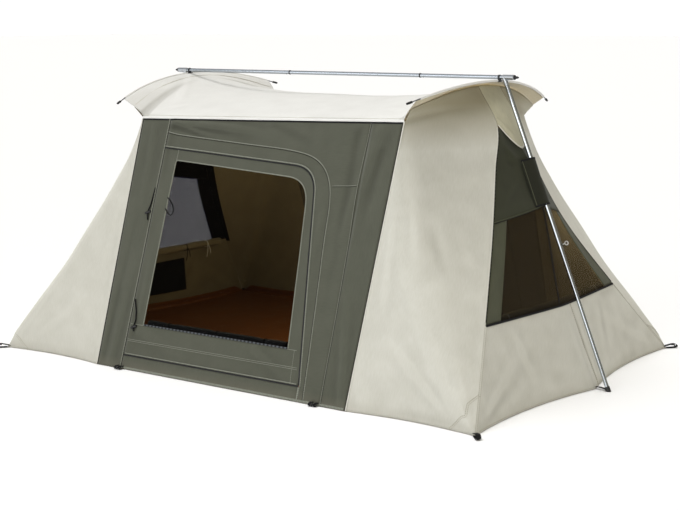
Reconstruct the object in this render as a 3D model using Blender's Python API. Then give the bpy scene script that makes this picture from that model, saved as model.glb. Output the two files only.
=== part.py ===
"""Canvas cabin tent whose roof is spread by one flexed steel rod at each end.

Metres, +Z up. The ridge runs along X and the front wall, with the door, faces -Y.
The origin is on the ground under the middle of the ridge.
"""

import math

import bmesh
import bpy
import numpy as np
from mathutils import Matrix, Vector

# Ground outline, from stake to stake
FLOOR_LENGTH = 4.27
FLOOR_DEPTH = 2.90
END_HEM_REACH = 0.105  # the middle of an end hem stands out past the corners
END_HEM_SAG = 0.075  # hollow of a hem between two stakes

# Front and back wall, flat up to the eave
EAVE_HEIGHT = 1.811
EAVE_OUT = 0.833
EAVE_HALF = 1.187
DARK_HALF_BOTTOM = 1.138  # half width of the dark panels
DARK_HALF_TOP = 1.180

# Flexed rods, in the roof's end edges
BOW_MID = (1.4485, 0.0, 2.108)
BOW_TIP = (1.330, 0.882, 1.980)
ROD_RADIUS = 0.004
ROD_TAIL = 0.095  # bare rod and cap past the canvas
CAP_RADIUS = 0.009
CAP_LENGTH = 0.045
CANVAS_TO_ROD = 0.0075

# Roof
ROOF_MID_HEIGHT = 1.973
ROOF_FLAP = 0.075  # overhang past the end wall
EAVE_LIP = 0.0045  # the roof's edge above the wall's top
ROOF_RISE_POWER = 3.2

# End walls: centre line of the bulge, and the seams to the corner panels
WINDOW_SILL = 0.571
WINDOW_MID_X = 1.977
YOKE_SEAM_HEIGHT = 1.150
YOKE_MID_HEIGHT = 1.250
BORDER_AT_SILL = 0.170  # width of the dark strip beside the window
BORDER_AT_YOKE = 0.105
WALL_UNDER_POLE = 0.028  # the end wall inside the pole's axis
VENT_RECESS = 0.075  # the wall under the hood, further in still
BULGE_POWER = 1.35
HOOD_CORNER_HEIGHT = 1.800
HOOD_MID = (1.640, 0.0, 1.642)
HOOD_BULGE = 0.015
HOOD_POWER = 1.7
SILL_ROLL_RADIUS = 0.036
SILL_ROLL_SPAN = 0.80
SILL_ROLL_IN = 0.048
# Height, x and y of the seam between a corner panel and the end wall
SEAM = (
    (0.000, 2.135, 1.450),
    (0.571, 1.905, 0.945),
    (1.150, 1.686, 0.478),
    (1.500, 1.590, 0.285),
    (1.800, 1.530, 0.165),
)
SEAM_TOP_SHARE = 0.168  # where the seams end under the roof, as a share of the way to its eave
# Distance up the slope and x of the fold where a corner panel turns the corner
CORNER_FOLD = (
    (0.00, 2.135),
    (0.30, 1.945),
    (0.70, 1.727),
    (1.00, 1.536),
    (1.40, 1.315),
    (1.75, 1.198),
    (1.913, 1.190),
)

# Fabric
FABRIC = 0.003
SEAM_GAP = 0.002
EDGE_TRIM = 0.003
HEM_LIFT = 0.0020
UNDER_ROOF = 0.010

# Door in the wall's own plane: x, and distance up the slope
DOOR_HINGE_X = -0.900
DOOR_CORNERS = ((-0.897, 0.107), (0.733, 0.107), (0.531, 1.577), (-0.897, 1.682))
OPENING_CORNERS = ((-0.761, 0.345), (0.584, 0.345), (0.489, 1.495), (-0.761, 1.588))
CORNER_ROUND = 0.180  # how far before the corner the round starts
ZIP_GAP = 0.004
SLIDER_SLOPES = (("upper", 1.01), ("lower", 0.20))
SURROUND_SEAM_X = 0.930
FLAP_ROLL_RADIUS = 0.030
FLAP_ROLL_SLOPE = 0.352

# Ridge, poles and fittings
RIDGE_HEIGHT = 2.133
RIDGE_RADIUS = 0.014
TUBE_WALL = 0.0012
RIDGE_JOINTS = (-0.410, 0.790)
SPIGOT_LENGTH = 0.060
BUTTON_RADIUS = 0.0034
BUTTON_RISE = 0.0035
TEE_INNER_X = 1.474
TEE_OUTER_X = 1.566
TEE_RADIUS = 0.018
PLUG_LENGTH = 0.035
POLE_TOP_X = 1.485
POLE_FOOT_X = 2.338
UPPER_RADIUS = 0.016
LOWER_RADIUS = 0.014
UPPER_TOP_HEIGHT = 2.072
UPPER_END_HEIGHT = 0.955
LOWER_TOP_HEIGHT = 1.280
FOOT_RADIUS = 0.0175
FOOT_HEIGHT = 0.032
EYE_HEIGHT = 0.985
SLEEVE_TOP = 1.579
SLEEVE_BOTTOM = 1.258
SLEEVE_HALF = 0.085
SLEEVE_EDGE = 0.038  # the sleeve's sewn edges inside the pole's axis
SLEEVE_RISE = 0.062
SLEEVE_POWER = 1.4
SLIDE_FIT = 0.0004
CLEAR = 0.0005
STAKE_OUT = (0.048, 0.052)
STAKE_RADIUS = 0.005
STAKE_HEAD = 0.024

ROUND = 24  # sides of a turned piece

LEG_HEIGHTS = (WINDOW_SILL + SEAM_GAP, 0.86, YOKE_SEAM_HEIGHT)
WALL_RUN = FLOOR_DEPTH / 2 - EAVE_OUT
WALL_SLOPE = math.hypot(WALL_RUN, EAVE_HEIGHT)
UP_WALL = Vector((0, WALL_RUN / WALL_SLOPE, EAVE_HEIGHT / WALL_SLOPE))
OUT_OF_WALL = Vector((0, -UP_WALL.z, UP_WALL.y))
POLE_AXIS = Vector((POLE_FOOT_X - POLE_TOP_X, 0, -RIDGE_HEIGHT)).normalized()
OUT_OF_POLE = Vector((-POLE_AXIS.z, 0, POLE_AXIS.x))
INNER_EDGE = 1 - ROOF_FLAP / BOW_MID[0]
EAVE_SHARE = EAVE_HALF / (BOW_TIP[0] - CANVAS_TO_ROD)


# Scene and materials


def clear_scene():
    for obj in list(bpy.data.objects):
        bpy.data.objects.remove(obj)


def linear(channel):
    return channel / 12.92 if channel <= 0.04045 else ((channel + 0.055) / 1.055) ** 2.4


def finish(name, colour, roughness, metallic=0.0):
    """A plain finish from an sRGB hex colour."""
    material = bpy.data.materials.new(name)
    material.use_nodes = True
    shader = material.node_tree.nodes["Principled BSDF"]
    rgb = [linear(int(colour[i : i + 2], 16) / 255) for i in (1, 3, 5)]
    shader.inputs["Base Color"].default_value = (*rgb, 1)
    shader.inputs["Roughness"].default_value = roughness
    shader.inputs["Metallic"].default_value = metallic
    material.diffuse_color = (*rgb, 1)
    return material


# Shape tools


def along(knots, key):
    """The smooth curve through a few knots, each (key, value, ...), read at one key."""
    table = np.array(knots, float)
    keys, values = table[:, 0], table[:, 1:]
    slopes = np.gradient(values, keys, axis=0)
    i = int(np.clip(np.searchsorted(keys, key) - 1, 0, len(keys) - 2))
    span = keys[i + 1] - keys[i]
    t = (key - keys[i]) / span
    start = (1 + 2 * t) * (1 - t) ** 2 * values[i] + t * (1 - t) ** 2 * span * slopes[i]
    end = t * t * (3 - 2 * t) * values[i + 1] + t * t * (t - 1) * span * slopes[i + 1]
    return start + end


def blend(a, b, share):
    return Vector(a).lerp(Vector(b), share)


def add_object(name, bm, material, smooth=False):
    mesh = bpy.data.meshes.new(name)
    bm.to_mesh(mesh)
    bm.free()
    mesh.materials.append(material)
    if smooth:
        mesh.shade_smooth()
        mesh.set_sharp_from_angle(angle=math.radians(35))
    obj = bpy.data.objects.new(name, mesh)
    bpy.context.scene.collection.objects.link(obj)
    return obj


def thicken(obj, thickness):
    solid = obj.modifiers.new("Thickness", "SOLIDIFY")
    solid.thickness = thickness
    solid.offset = -1


def face_out(bm, inside):
    """Turns an open sheet so that its faces look away from a point inside the tent."""
    bmesh.ops.remove_doubles(bm, verts=bm.verts, dist=0.0002)
    bm.normal_update()
    outward = 0.0
    for face in bm.faces:
        outward += face.normal.dot(face.calc_center_median() - inside) * face.calc_area()
    if outward < 0:
        bmesh.ops.reverse_faces(bm, faces=bm.faces)


def panel(name, rows, material, inside=(0, 0, 1), keep=None, thickness=FABRIC):
    """A cloth panel from rows of points, thickened towards the inside of the tent."""
    bm = bmesh.new()
    grid = [[bm.verts.new(point) for point in row] for row in rows]
    for i in range(len(rows) - 1):
        for j in range(len(rows[0]) - 1):
            if keep is None or keep(i, j):
                bm.faces.new((grid[i][j], grid[i][j + 1], grid[i + 1][j + 1], grid[i + 1][j]))
    bmesh.ops.delete(bm, geom=[v for v in bm.verts if not v.link_faces], context="VERTS")
    face_out(bm, Vector(inside))
    obj = add_object(name, bm, material, smooth=True)
    thicken(obj, thickness)
    return obj


def plate(name, outline, material, inside=(0, 0, 1), hole=None, thickness=FABRIC):
    """A flat piece from its outline, with a hole whose outline has as many points."""
    bm = bmesh.new()
    outer = [bm.verts.new(point) for point in outline]
    if hole:
        inner = [bm.verts.new(point) for point in hole]
        for i in range(len(outer)):
            j = (i + 1) % len(outer)
            bm.faces.new((outer[i], outer[j], inner[j], inner[i]))
    else:
        bm.faces.new(outer)
    face_out(bm, Vector(inside))
    obj = add_object(name, bm, material)
    thicken(obj, thickness)
    return obj


def place(obj, start, axis):
    """Stands a piece that was made along its own Z on a point, along an axis."""
    turn = Vector(axis).to_track_quat("Z", "Y").to_matrix().to_4x4()
    obj.matrix_world = Matrix.Translation(Vector(start)) @ turn
    return obj


def turned(name, profile, material, start, axis, sides=ROUND):
    """A turned piece. Its profile is a closed loop of (radius, distance along the axis)."""
    bm = bmesh.new()
    rings = []
    for radius, height in profile:
        if radius == 0:
            rings.append([bm.verts.new((0, 0, height))])
            continue
        angles = [2 * math.pi * k / sides for k in range(sides)]
        ring = [bm.verts.new((radius * math.cos(a), radius * math.sin(a), height)) for a in angles]
        rings.append(ring)
    closed = profile[0][0] != 0
    count = len(rings) if closed else len(rings) - 1
    for i in range(count):
        low, high = rings[i], rings[(i + 1) % len(rings)]
        for k in range(sides):
            n = (k + 1) % sides
            corners = [low[k % len(low)], low[n % len(low)], high[n % len(high)], high[k % len(high)]]
            bm.faces.new(list(dict.fromkeys(corners)))
    bmesh.ops.recalc_face_normals(bm, faces=bm.faces)
    return place(add_object(name, bm, material, smooth=True), start, axis)


def bar(name, radius, length, material, start, axis, sides=ROUND):
    return turned(name, [(0, 0), (radius, 0), (radius, length), (0, length)], material, start, axis, sides)


def tube(name, radius, bore, length, material, start, axis):
    profile = [(radius, 0), (radius, length), (bore, length), (bore, 0)]
    return turned(name, profile, material, start, axis)


def box(name, low, high, material):
    bm = bmesh.new()
    bmesh.ops.create_cube(bm, size=1)
    low, high = Vector(low), Vector(high)
    size = high - low
    for vert in bm.verts:
        vert.co = (low + high) / 2 + Vector([vert.co[i] * size[i] for i in range(3)])
    return add_object(name, bm, material)


def wire(name, points, radii, material, resolution=2):
    """A bent round bar. Each point has its own radius."""
    curve = bpy.data.curves.new(name, "CURVE")
    curve.dimensions = "3D"
    curve.bevel_depth = 1
    curve.bevel_resolution = resolution
    curve.use_fill_caps = True
    spline = curve.splines.new("POLY")
    spline.points.add(len(points) - 1)
    for point, place_at, radius in zip(spline.points, points, radii):
        point.co = (*place_at, 1)
        point.radius = radius
    curve.materials.append(material)
    obj = bpy.data.objects.new(name, curve)
    bpy.context.scene.collection.objects.link(obj)
    return obj


def combine(obj, helper, operation):
    """Joins a helper solid to a piece, or cuts it out."""
    helper.hide_render = True
    helper.display_type = "WIRE"
    boolean = obj.modifiers.new(helper.name, "BOOLEAN")
    boolean.operation = operation
    boolean.object = helper


def set_origin(obj, point):
    """Moves a piece's origin onto its joint's axis, and leaves its shape where it is."""
    point = Vector(point)
    obj.data.transform(Matrix.Translation(-point))
    obj.location = point


# Surfaces that neighbouring panels share


def on_wall(x, slope, depth=0.0, side=1):
    """A point of the front wall (side 1), or of the back wall as seen from behind (-1)."""
    point = Vector((x, -FLOOR_DEPTH / 2, 0)) + slope * UP_WALL - depth * OUT_OF_WALL
    return Vector((side * point.x, side * point.y, point.z))


def on_roof(p, q):
    """A point of the roof: p runs from end to end, q from front to back, both -1 to 1."""
    edge = BOW_MID[0] - CANVAS_TO_ROD - (BOW_MID[0] - BOW_TIP[0]) * q * q
    corner = max(0.0, (abs(p) - EAVE_SHARE) / (1 - EAVE_SHARE))
    out = EAVE_OUT + (BOW_TIP[1] - EAVE_OUT) * corner
    middle = ROOF_MID_HEIGHT + (BOW_MID[2] - ROOF_MID_HEIGHT) * abs(p) ** ROOF_RISE_POWER
    eave = EAVE_HEIGHT + EAVE_LIP
    border = eave + (BOW_TIP[2] - eave) * corner
    return Vector((p * edge, q * out, middle + (border - middle) * q * q))


def on_bow(share, side):
    """The middle of a flexed rod: share runs from -1 at the front tip to 1 at the back."""
    fall = share * share
    x = BOW_MID[0] - (BOW_MID[0] - BOW_TIP[0]) * fall
    z = BOW_MID[2] - (BOW_MID[2] - BOW_TIP[2]) * fall
    return Vector((side * x, share * BOW_TIP[1], z))


def on_pole(height, out=0.0, along_y=0.0):
    """A point on the right end pole's axis at a height, or off it."""
    drop = (RIDGE_HEIGHT - height) / -POLE_AXIS.z
    return Vector((POLE_TOP_X, along_y, RIDGE_HEIGHT)) + drop * POLE_AXIS + out * OUT_OF_POLE


def mirrored(points, side, back=1):
    """Points made for the right end, or for the front, put at the other."""
    return [Vector((side * p[0], back * p[1], p[2])) for p in points]


def end_hem(share):
    """The hem of the right end wall on the ground, share -1 at the front stake to 1."""
    u = abs(share)
    x = FLOOR_LENGTH / 2 + END_HEM_REACH * (1 - u) - END_HEM_SAG * 4 * u * (1 - u)
    return Vector((x, share * FLOOR_DEPTH / 2, HEM_LIFT))


def under_roof_edge(q):
    """Where an end wall hangs under the roof, inside its overhang."""
    return on_roof(INNER_EDGE, q) - Vector((0, 0, UNDER_ROOF))


def seam_point(height):
    top = under_roof_edge(SEAM_TOP_SHARE)
    x, y = along(SEAM + ((top.z, top.x, top.y),), height)
    return Vector((x, y, height))


# Canvas


def roof_canopy(cream):
    half = [0, 0.22, 0.45, 0.65, 0.80, EAVE_SHARE, INNER_EDGE, 1]
    spread = [-p for p in reversed(half[1:])] + half
    across = [math.sin(math.radians(a)) for a in (-90, -66, -50, -36, -22, -9)]
    across = across + [0] + [-q for q in reversed(across)]
    rows = [[on_roof(p, q) for p in spread] for q in across]
    return panel("roof_canopy", rows, cream)


def rounded(corners, grow=0.0, steps=6):
    """Four corners in the wall's plane, the third one rounded, pushed out by grow."""
    (left, low), (right_low, _), (right_top, top), (_, left_top) = corners
    corner = Vector((right_top + grow, top + grow))
    down = Vector((right_low - right_top, low - top)).normalized()
    across = Vector((left - right_top, left_top - top)).normalized()
    before = corner + CORNER_ROUND * down
    after = corner + CORNER_ROUND * across
    foot_x = right_low + grow * (1 + (right_low - right_top) / (top - low))
    points = [(left - grow, low - grow), (foot_x, low - grow)]
    for k in range(steps + 1):
        t = k / steps
        points.append(tuple((1 - t) ** 2 * before + 2 * t * (1 - t) * corner + t * t * after))
    points.append((left - grow, left_top + grow))
    return points


def wall_panels(word, side, dark):
    """The four fixed panels of the front or back wall, around its door."""
    top = WALL_SLOPE
    left_bottom, left_top = -DARK_HALF_BOTTOM + SEAM_GAP, -DARK_HALF_TOP + SEAM_GAP
    seam_x = SURROUND_SEAM_X
    left_x = DOOR_HINGE_X - SEAM_GAP
    low = HEM_LIFT

    def flat(name, outline):
        plate(name, [on_wall(x, s, 0, side) for x, s in outline], dark)

    flat(f"{word}_wall_left", [(left_bottom, low), (left_x, low), (left_x, top), (left_top, top)])
    right = [(seam_x + SEAM_GAP, low), (-left_bottom, low), (-left_top, top), (seam_x + SEAM_GAP, top)]
    flat(f"{word}_wall_right", right)
    door = rounded(DOOR_CORNERS, grow=ZIP_GAP)
    (foot_x, foot_slope), (round_x, round_slope) = door[1], door[2]
    splay = (foot_x - round_x) / (round_slope - foot_slope)
    jamb_foot = (foot_x + splay * (foot_slope - low), low)
    surround = [(left_x + SEAM_GAP, top), (left_x + SEAM_GAP, door[-1][1])]
    surround += list(reversed(door[2:-1])) + [jamb_foot, (seam_x, low), (seam_x, top)]
    flat(f"{word}_wall_surround", surround)
    sill = [(left_x + SEAM_GAP, low), (foot_x - SEAM_GAP, low)]
    sill += [(foot_x - SEAM_GAP, foot_slope), (left_x + SEAM_GAP, foot_slope)]
    flat(f"{word}_wall_sill", sill)


def corner_panel(name, side, back, cream):
    """A corner panel: flat beside the dark panels, then round the fold to the end wall."""
    rows = []
    shares = (0, 0.12, 0.30, 0.50, 0.68, 0.82, 0.93, 1)
    seam_top = under_roof_edge(SEAM_TOP_SHARE).z
    arc = [under_roof_edge(-1 + (1 - SEAM_TOP_SHARE) * k / 4) for k in range(5)]
    for share in shares:
        slope = max(HEM_LIFT, min(1.0, share / 0.93) * (WALL_SLOPE - 0.004))
        fold = on_wall(float(along(CORNER_FOLD, slope)[0]), slope)
        dark_x = DARK_HALF_BOTTOM + (DARK_HALF_TOP - DARK_HALF_BOTTOM) * slope / WALL_SLOPE
        edge = on_wall(dark_x + SEAM_GAP, slope)
        if share == 1:
            edge = edge + Vector((0, 0, 0.001))
            fold = arc[0]
        seam = seam_point(max(HEM_LIFT, share * seam_top))
        seam.y = -seam.y - SEAM_GAP * min(1, share * 8)
        row = [edge, fold]
        for k in range(1, 5):
            across = k / 4
            lift = arc[k] - blend(arc[0], arc[4], across)
            row.append(blend(fold, seam, across) + share**6 * lift)
        rows.append(mirrored(row, side, back))
    last = len(shares) - 2
    return panel(name, rows, cream, keep=lambda i, j: not (i == last and j == 0))


def end_wall_point(share, height):
    """A point of the right end wall between its seams, under the hood and sleeve."""
    seam = seam_point(height)
    if height <= YOKE_MID_HEIGHT:
        lower = on_pole(YOKE_MID_HEIGHT, -WALL_UNDER_POLE).x
        t = (height - WINDOW_SILL) / (YOKE_MID_HEIGHT - WINDOW_SILL)
        middle = WINDOW_MID_X + (lower - WINDOW_MID_X) * t
        power = BULGE_POWER
    else:
        t = max(0.0, (height - SLEEVE_TOP) / (HOOD_CORNER_HEIGHT - SLEEVE_TOP))
        middle = on_pole(height, -WALL_UNDER_POLE - VENT_RECESS * min(t, 1)).x
        power = 1.0
    x = seam.x + (middle - seam.x) * (1 - abs(share) ** power)
    return Vector((x, share * seam.y, height))


def end_lower_wall(name, side, cream):
    rows = []
    for step in range(4):
        t = step / 3
        height = HEM_LIFT + (WINDOW_SILL - SEAM_GAP - HEM_LIFT) * t
        row = []
        for share in (-1, -0.8, -0.6, -0.4, -0.2, 0, 0.2, 0.4, 0.6, 0.8, 1):
            trimmed = share * (1 - EDGE_TRIM)
            low, high = end_hem(trimmed), end_wall_point(trimmed, WINDOW_SILL)
            point = blend(low, high, t)
            point.z = height
            row.append(point)
        rows.append(mirrored(row, side))
    return panel(name, rows, cream)


def border_share(height):
    """How far across the end wall the window starts."""
    rise = (height - WINDOW_SILL) / (YOKE_SEAM_HEIGHT - WINDOW_SILL)
    width = BORDER_AT_SILL + (BORDER_AT_YOKE - BORDER_AT_SILL) * max(0.0, rise)
    return 1 - width / seam_point(height).y


def end_yoke(name, side, dark):
    """The dark panel over the window, with a strip down each side of it."""
    rows = []
    yoke_heights = (1.30, 1.45, SLEEVE_TOP, 1.68, HOOD_CORNER_HEIGHT - 0.02)
    for height in LEG_HEIGHTS + yoke_heights:
        inner = border_share(min(height, YOKE_SEAM_HEIGHT))
        trim = 1 - EDGE_TRIM / seam_point(height).y
        row = []
        for share in (-trim, -inner, -0.35, 0, 0.35, inner, trim):
            at = height
            if height == YOKE_SEAM_HEIGHT and abs(share) < inner:
                at += (YOKE_MID_HEIGHT - YOKE_SEAM_HEIGHT) * (1 - abs(share) / inner)
            row.append(end_wall_point(share, at))
        rows.append(mirrored(row, side))
    legs = len(LEG_HEIGHTS) - 1
    return panel(name, rows, dark, keep=lambda i, j: i >= legs or j in (0, 5))


def window_screen(name, side, mesh_cloth):
    rows = []
    for height in LEG_HEIGHTS:
        edge = border_share(height) - 2 * EDGE_TRIM
        row = []
        for share in (-1, -0.5, 0, 0.5, 1):
            at = height
            if height == YOKE_SEAM_HEIGHT:
                rise = 1 - abs(share) * edge / border_share(height)
                at += (YOKE_MID_HEIGHT - YOKE_SEAM_HEIGHT) * rise - 2 * SEAM_GAP
            row.append(end_wall_point(share * edge, at))
        rows.append(mirrored(row, side))
    return panel(name, rows, mesh_cloth)


def pole_sleeve(name, side, dark):
    """The pocket over the end pole, sewn down along both its edges."""
    rows = []
    for height in (SLEEVE_BOTTOM, (SLEEVE_BOTTOM + SLEEVE_TOP) / 2, SLEEVE_TOP):
        row = []
        for k in range(-6, 7):
            y = SLEEVE_HALF * k / 6
            rise = max(0.0, math.cos(math.pi * y / (2 * SLEEVE_HALF)))
            out = SLEEVE_RISE * rise**SLEEVE_POWER - SLEEVE_EDGE
            row.append(on_pole(height, out, y))
        rows.append(mirrored(row, side))
    return panel(name, rows, dark)


def vent_hood(name, side, cream):
    """The hood over the vent at the top of an end wall, free along its lower edge."""
    rows = []
    steps = 5
    ridge_point = under_roof_edge(0)
    seam_top = under_roof_edge(SEAM_TOP_SHARE).z
    for step in range(steps + 1):
        t = step / steps
        edge = seam_point(seam_top + (HOOD_CORNER_HEIGHT - seam_top) * t)
        middle = blend(ridge_point, HOOD_MID, t) + Vector((HOOD_BULGE * math.sin(math.pi * t), 0, 0))
        row = []
        for k in range(-4, 5):
            share = k / 4
            point = blend(edge, middle, 1 - abs(share) ** HOOD_POWER)
            point.y = share * (edge.y - SEAM_GAP)
            row.append(point)
        rows.append(mirrored(row, side))
    return panel(name, rows, cream)


def window_roll(name, side, cream):
    """The window's inner cover, rolled down onto the sill."""
    points, radii = [], []
    for k in range(-6, 7):
        share = k / 6 * SILL_ROLL_SPAN
        point = end_wall_point(share, WINDOW_SILL) - Vector((SILL_ROLL_IN, 0, 2 * SEAM_GAP))
        points.append(Vector((side * point.x, point.y, point.z)))
        radii.append(SILL_ROLL_RADIUS * (1 if abs(k) < 6 else 0.83))
    return wire(name, points, radii, cream)


def groundsheet(floor_cloth):
    inset = 0.014
    corners = []
    for side in (1, -1):
        for k in range(-8, 9):
            hem = end_hem(side * k / 8)
            y = max(-FLOOR_DEPTH / 2 + inset, min(FLOOR_DEPTH / 2 - inset, hem.y))
            corners.append(Vector((side * (hem.x - inset - 0.006), y, FABRIC)))
    return plate("groundsheet", corners, floor_cloth, inside=(0, 0, -1))


# Doors


def door(word, side, dark, filling, roll_cloth):
    """The zipped door: a bordered panel and what fills its opening."""
    hinge = on_wall(DOOR_HINGE_X, 0, 0, side)
    outline = [on_wall(x, s, 0, side) for x, s in rounded(DOOR_CORNERS)]
    opening = [on_wall(x, s, 0, side) for x, s in rounded(OPENING_CORNERS)]
    fill = [on_wall(x, s, 0, side) for x, s in rounded(OPENING_CORNERS, grow=-SEAM_GAP)]
    pieces = [plate(f"{word}_door_panel", outline, dark, hole=opening)]
    kind = "screen" if roll_cloth else "flap"
    pieces.append(plate(f"{word}_door_{kind}", fill, filling))
    if roll_cloth:
        start = OPENING_CORNERS[0][0] + FLAP_ROLL_RADIUS
        span = OPENING_CORNERS[1][0] - FLAP_ROLL_RADIUS - start
        depth = FABRIC + FLAP_ROLL_RADIUS + 5 * CLEAR
        points = []
        for k in range(9):
            points.append(on_wall(start + span * k / 8, FLAP_ROLL_SLOPE, depth, side))
        pieces.append(wire(f"{word}_door_flap_roll", points, [FLAP_ROLL_RADIUS] * 9, roll_cloth))
    for piece in pieces:
        set_origin(piece, hinge)


def zip_slider(name, slope, side, metal):
    """A zip slider with its pull tab, on the straight right-hand run of the zip."""
    low, high = Vector(DOOR_CORNERS[1]), Vector(DOOR_CORNERS[2])
    run = (high - low).normalized()
    at = low + run * (slope - low.y) / run.y
    across = Vector((run.y, -run.x))

    def spot(right, up, depth):
        flat = at + right * across + up * run
        return on_wall(flat.x, flat.y, depth, side)

    middle = ZIP_GAP / 2
    bm = bmesh.new()
    body = [(-0.005, 0.009), (-0.0035, -0.009)]
    tab = [(-0.003, -0.009), (-0.0035, -0.034)]
    half = body + tab
    shape = half + [(-right, up) for right, up in reversed(half)]
    rings = []
    for depth in (-0.0006, -0.0056):
        rings.append([bm.verts.new(spot(middle + right, up, depth)) for right, up in shape])
    bm.faces.new(rings[0])
    bm.faces.new(list(reversed(rings[1])))
    count = len(rings[0])
    for i in range(count):
        j = (i + 1) % count
        bm.faces.new((rings[0][i], rings[0][j], rings[1][j], rings[1][i]))
    bmesh.ops.recalc_face_normals(bm, faces=bm.faces)
    slider = add_object(name, bm, metal)
    set_origin(slider, spot(middle, 0, -0.003))
    return slider


# Frame


def ridge(steel, spring_steel):
    """Three tubes on one line. The middle one has a thinner spigot at each end."""
    left_joint, right_joint = RIDGE_JOINTS
    end = TEE_INNER_X + 0.040
    bore = RIDGE_RADIUS - TUBE_WALL
    at = Vector((0, 0, RIDGE_HEIGHT))
    x_axis = Vector((1, 0, 0))
    left_start, left_length = at - end * x_axis, end + left_joint - CLEAR
    left = tube("ridge_tube_left", RIDGE_RADIUS, bore, left_length, steel, left_start, x_axis)
    right_start, right_length = at + (right_joint + CLEAR) * x_axis, end - right_joint - CLEAR
    right = tube("ridge_tube_right", RIDGE_RADIUS, bore, right_length, steel, right_start, x_axis)
    thin = bore - SLIDE_FIT
    length = right_joint - left_joint
    profile = [
        (thin, -SPIGOT_LENGTH),
        (thin, 0),
        (RIDGE_RADIUS, 0),
        (RIDGE_RADIUS, length),
        (thin, length),
        (thin, length + SPIGOT_LENGTH),
        (thin - TUBE_WALL, length + SPIGOT_LENGTH),
        (thin - TUBE_WALL, -SPIGOT_LENGTH),
    ]
    middle = turned("ridge_tube_centre", profile, steel, at + left_joint * x_axis, x_axis)
    down = Vector((0, -0.5, -1)).normalized()
    for word, joint, outer in (("left", left_joint, left), ("right", right_joint, right)):
        reach = -SPIGOT_LENGTH / 2 if word == "left" else SPIGOT_LENGTH / 2
        middle_of = at + (joint + reach) * x_axis
        hole = BUTTON_RADIUS + SLIDE_FIT
        cutter = bar(f"button_hole_{word}", hole, 0.02, steel, middle_of + 0.004 * down, down)
        combine(outer, cutter, "DIFFERENCE")
        combine(middle, cutter, "DIFFERENCE")
        tip = RIDGE_RADIUS + BUTTON_RISE
        profile = [(0, 0.006), (BUTTON_RADIUS, 0.006), (BUTTON_RADIUS, tip - 0.0015)]
        profile += [(0.002, tip), (0, tip)]
        turned(f"ridge_button_{word}", profile, spring_steel, middle_of, down, sides=16)


def tee(word, side, grey, black):
    """The fitting at a ridge end: a socket for the ridge, a spigot for the pole."""
    start = Vector((side * TEE_INNER_X, 0, RIDGE_HEIGHT))
    out = Vector((side, 0, 0))
    length = TEE_OUTER_X - TEE_INNER_X
    bevel = 0.003
    profile = [
        (0, 0),
        (TEE_RADIUS - bevel, 0),
        (TEE_RADIUS, bevel),
        (TEE_RADIUS, length - bevel),
        (TEE_RADIUS - bevel, length),
        (0, length),
    ]
    body = turned(f"tee_connector_{word}", profile, grey, start, out)
    pole = Vector((side * POLE_AXIS.x, 0, POLE_AXIS.z))
    crossing = Vector((side * POLE_TOP_X, 0, RIDGE_HEIGHT))
    collar = bar(f"tee_collar_{word}", 0.0165, 0.052, grey, crossing + 0.008 * pole, pole)
    spigot = bar(f"tee_spigot_{word}", 0.0125, 0.110, grey, crossing + 0.012 * pole, pole)
    socket = bar(f"tee_socket_{word}", RIDGE_RADIUS + CLEAR, 0.062, grey, start - 0.020 * out, out)
    near, far = sorted((side * (TEE_INNER_X - 0.07), side * (TEE_INNER_X - 0.0001)))
    trim_back = box(f"tee_trim_{word}", (near, -0.03, 2.06), (far, 0.03, 2.16), grey)
    combine(body, collar, "UNION")
    combine(body, spigot, "UNION")
    combine(body, socket, "DIFFERENCE")
    combine(body, trim_back, "DIFFERENCE")
    plug_profile = [
        (0, 0),
        (0.0165, 0),
        (0.0165, 0.006),
        (0.010, 0.010),
        (0.008, PLUG_LENGTH - 0.008),
        (0.0035, PLUG_LENGTH),
        (0, PLUG_LENGTH),
    ]
    turned(f"tee_plug_{word}", plug_profile, black, start + (length + CLEAR) * out, out)


def bow_clamp(word, side, black):
    """The black clamp that hangs a flexed rod under the ridge tube."""
    width = 0.013
    low_x = side * BOW_MID[0] - width / 2
    out = Vector((1, 0, 0))
    start = Vector((low_x, 0, RIDGE_HEIGHT))
    body = bar(f"bow_clamp_{word}", RIDGE_RADIUS + 0.0035, width, black, start, out)
    lug_low = (low_x, -0.015, BOW_MID[2] - 0.010)
    lug = box(f"clamp_lug_{word}", lug_low, (low_x + width, 0.015, RIDGE_HEIGHT - 0.004), black)
    ridge_start = start - 0.02 * out
    ridge_hole = bar(f"clamp_ridge_hole_{word}", RIDGE_RADIUS + CLEAR, 0.05, black, ridge_start, out)
    rod_start, along_y = Vector((side * BOW_MID[0], -0.03, BOW_MID[2])), (0, 1, 0)
    hole = ROD_RADIUS + CLEAR
    rod_hole = bar(f"clamp_rod_hole_{word}", hole, 0.06, black, rod_start, along_y, sides=16)
    combine(body, lug, "UNION")
    combine(body, ridge_hole, "DIFFERENCE")
    combine(body, rod_hole, "DIFFERENCE")


def bow_rod(word, side, spring_steel):
    """The flexed rod in the roof's end edge, with a cap on each bare end."""
    reach = 1 + ROD_TAIL / BOW_TIP[1]
    cap_from = reach - CAP_LENGTH / BOW_TIP[1]
    stations = [(k / 12, ROD_RADIUS) for k in range(-12, 13)]
    tail = [(cap_from - 0.001, ROD_RADIUS), (cap_from, CAP_RADIUS)]
    tail += [(reach - 0.005, CAP_RADIUS), (reach, 0.67 * CAP_RADIUS)]
    stations = [(-s, r) for s, r in reversed(tail)] + stations + tail
    points = [on_bow(share, side) for share, _ in stations]
    wire(f"bow_rod_{word}", points, [radius for _, radius in stations], spring_steel, resolution=3)


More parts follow.
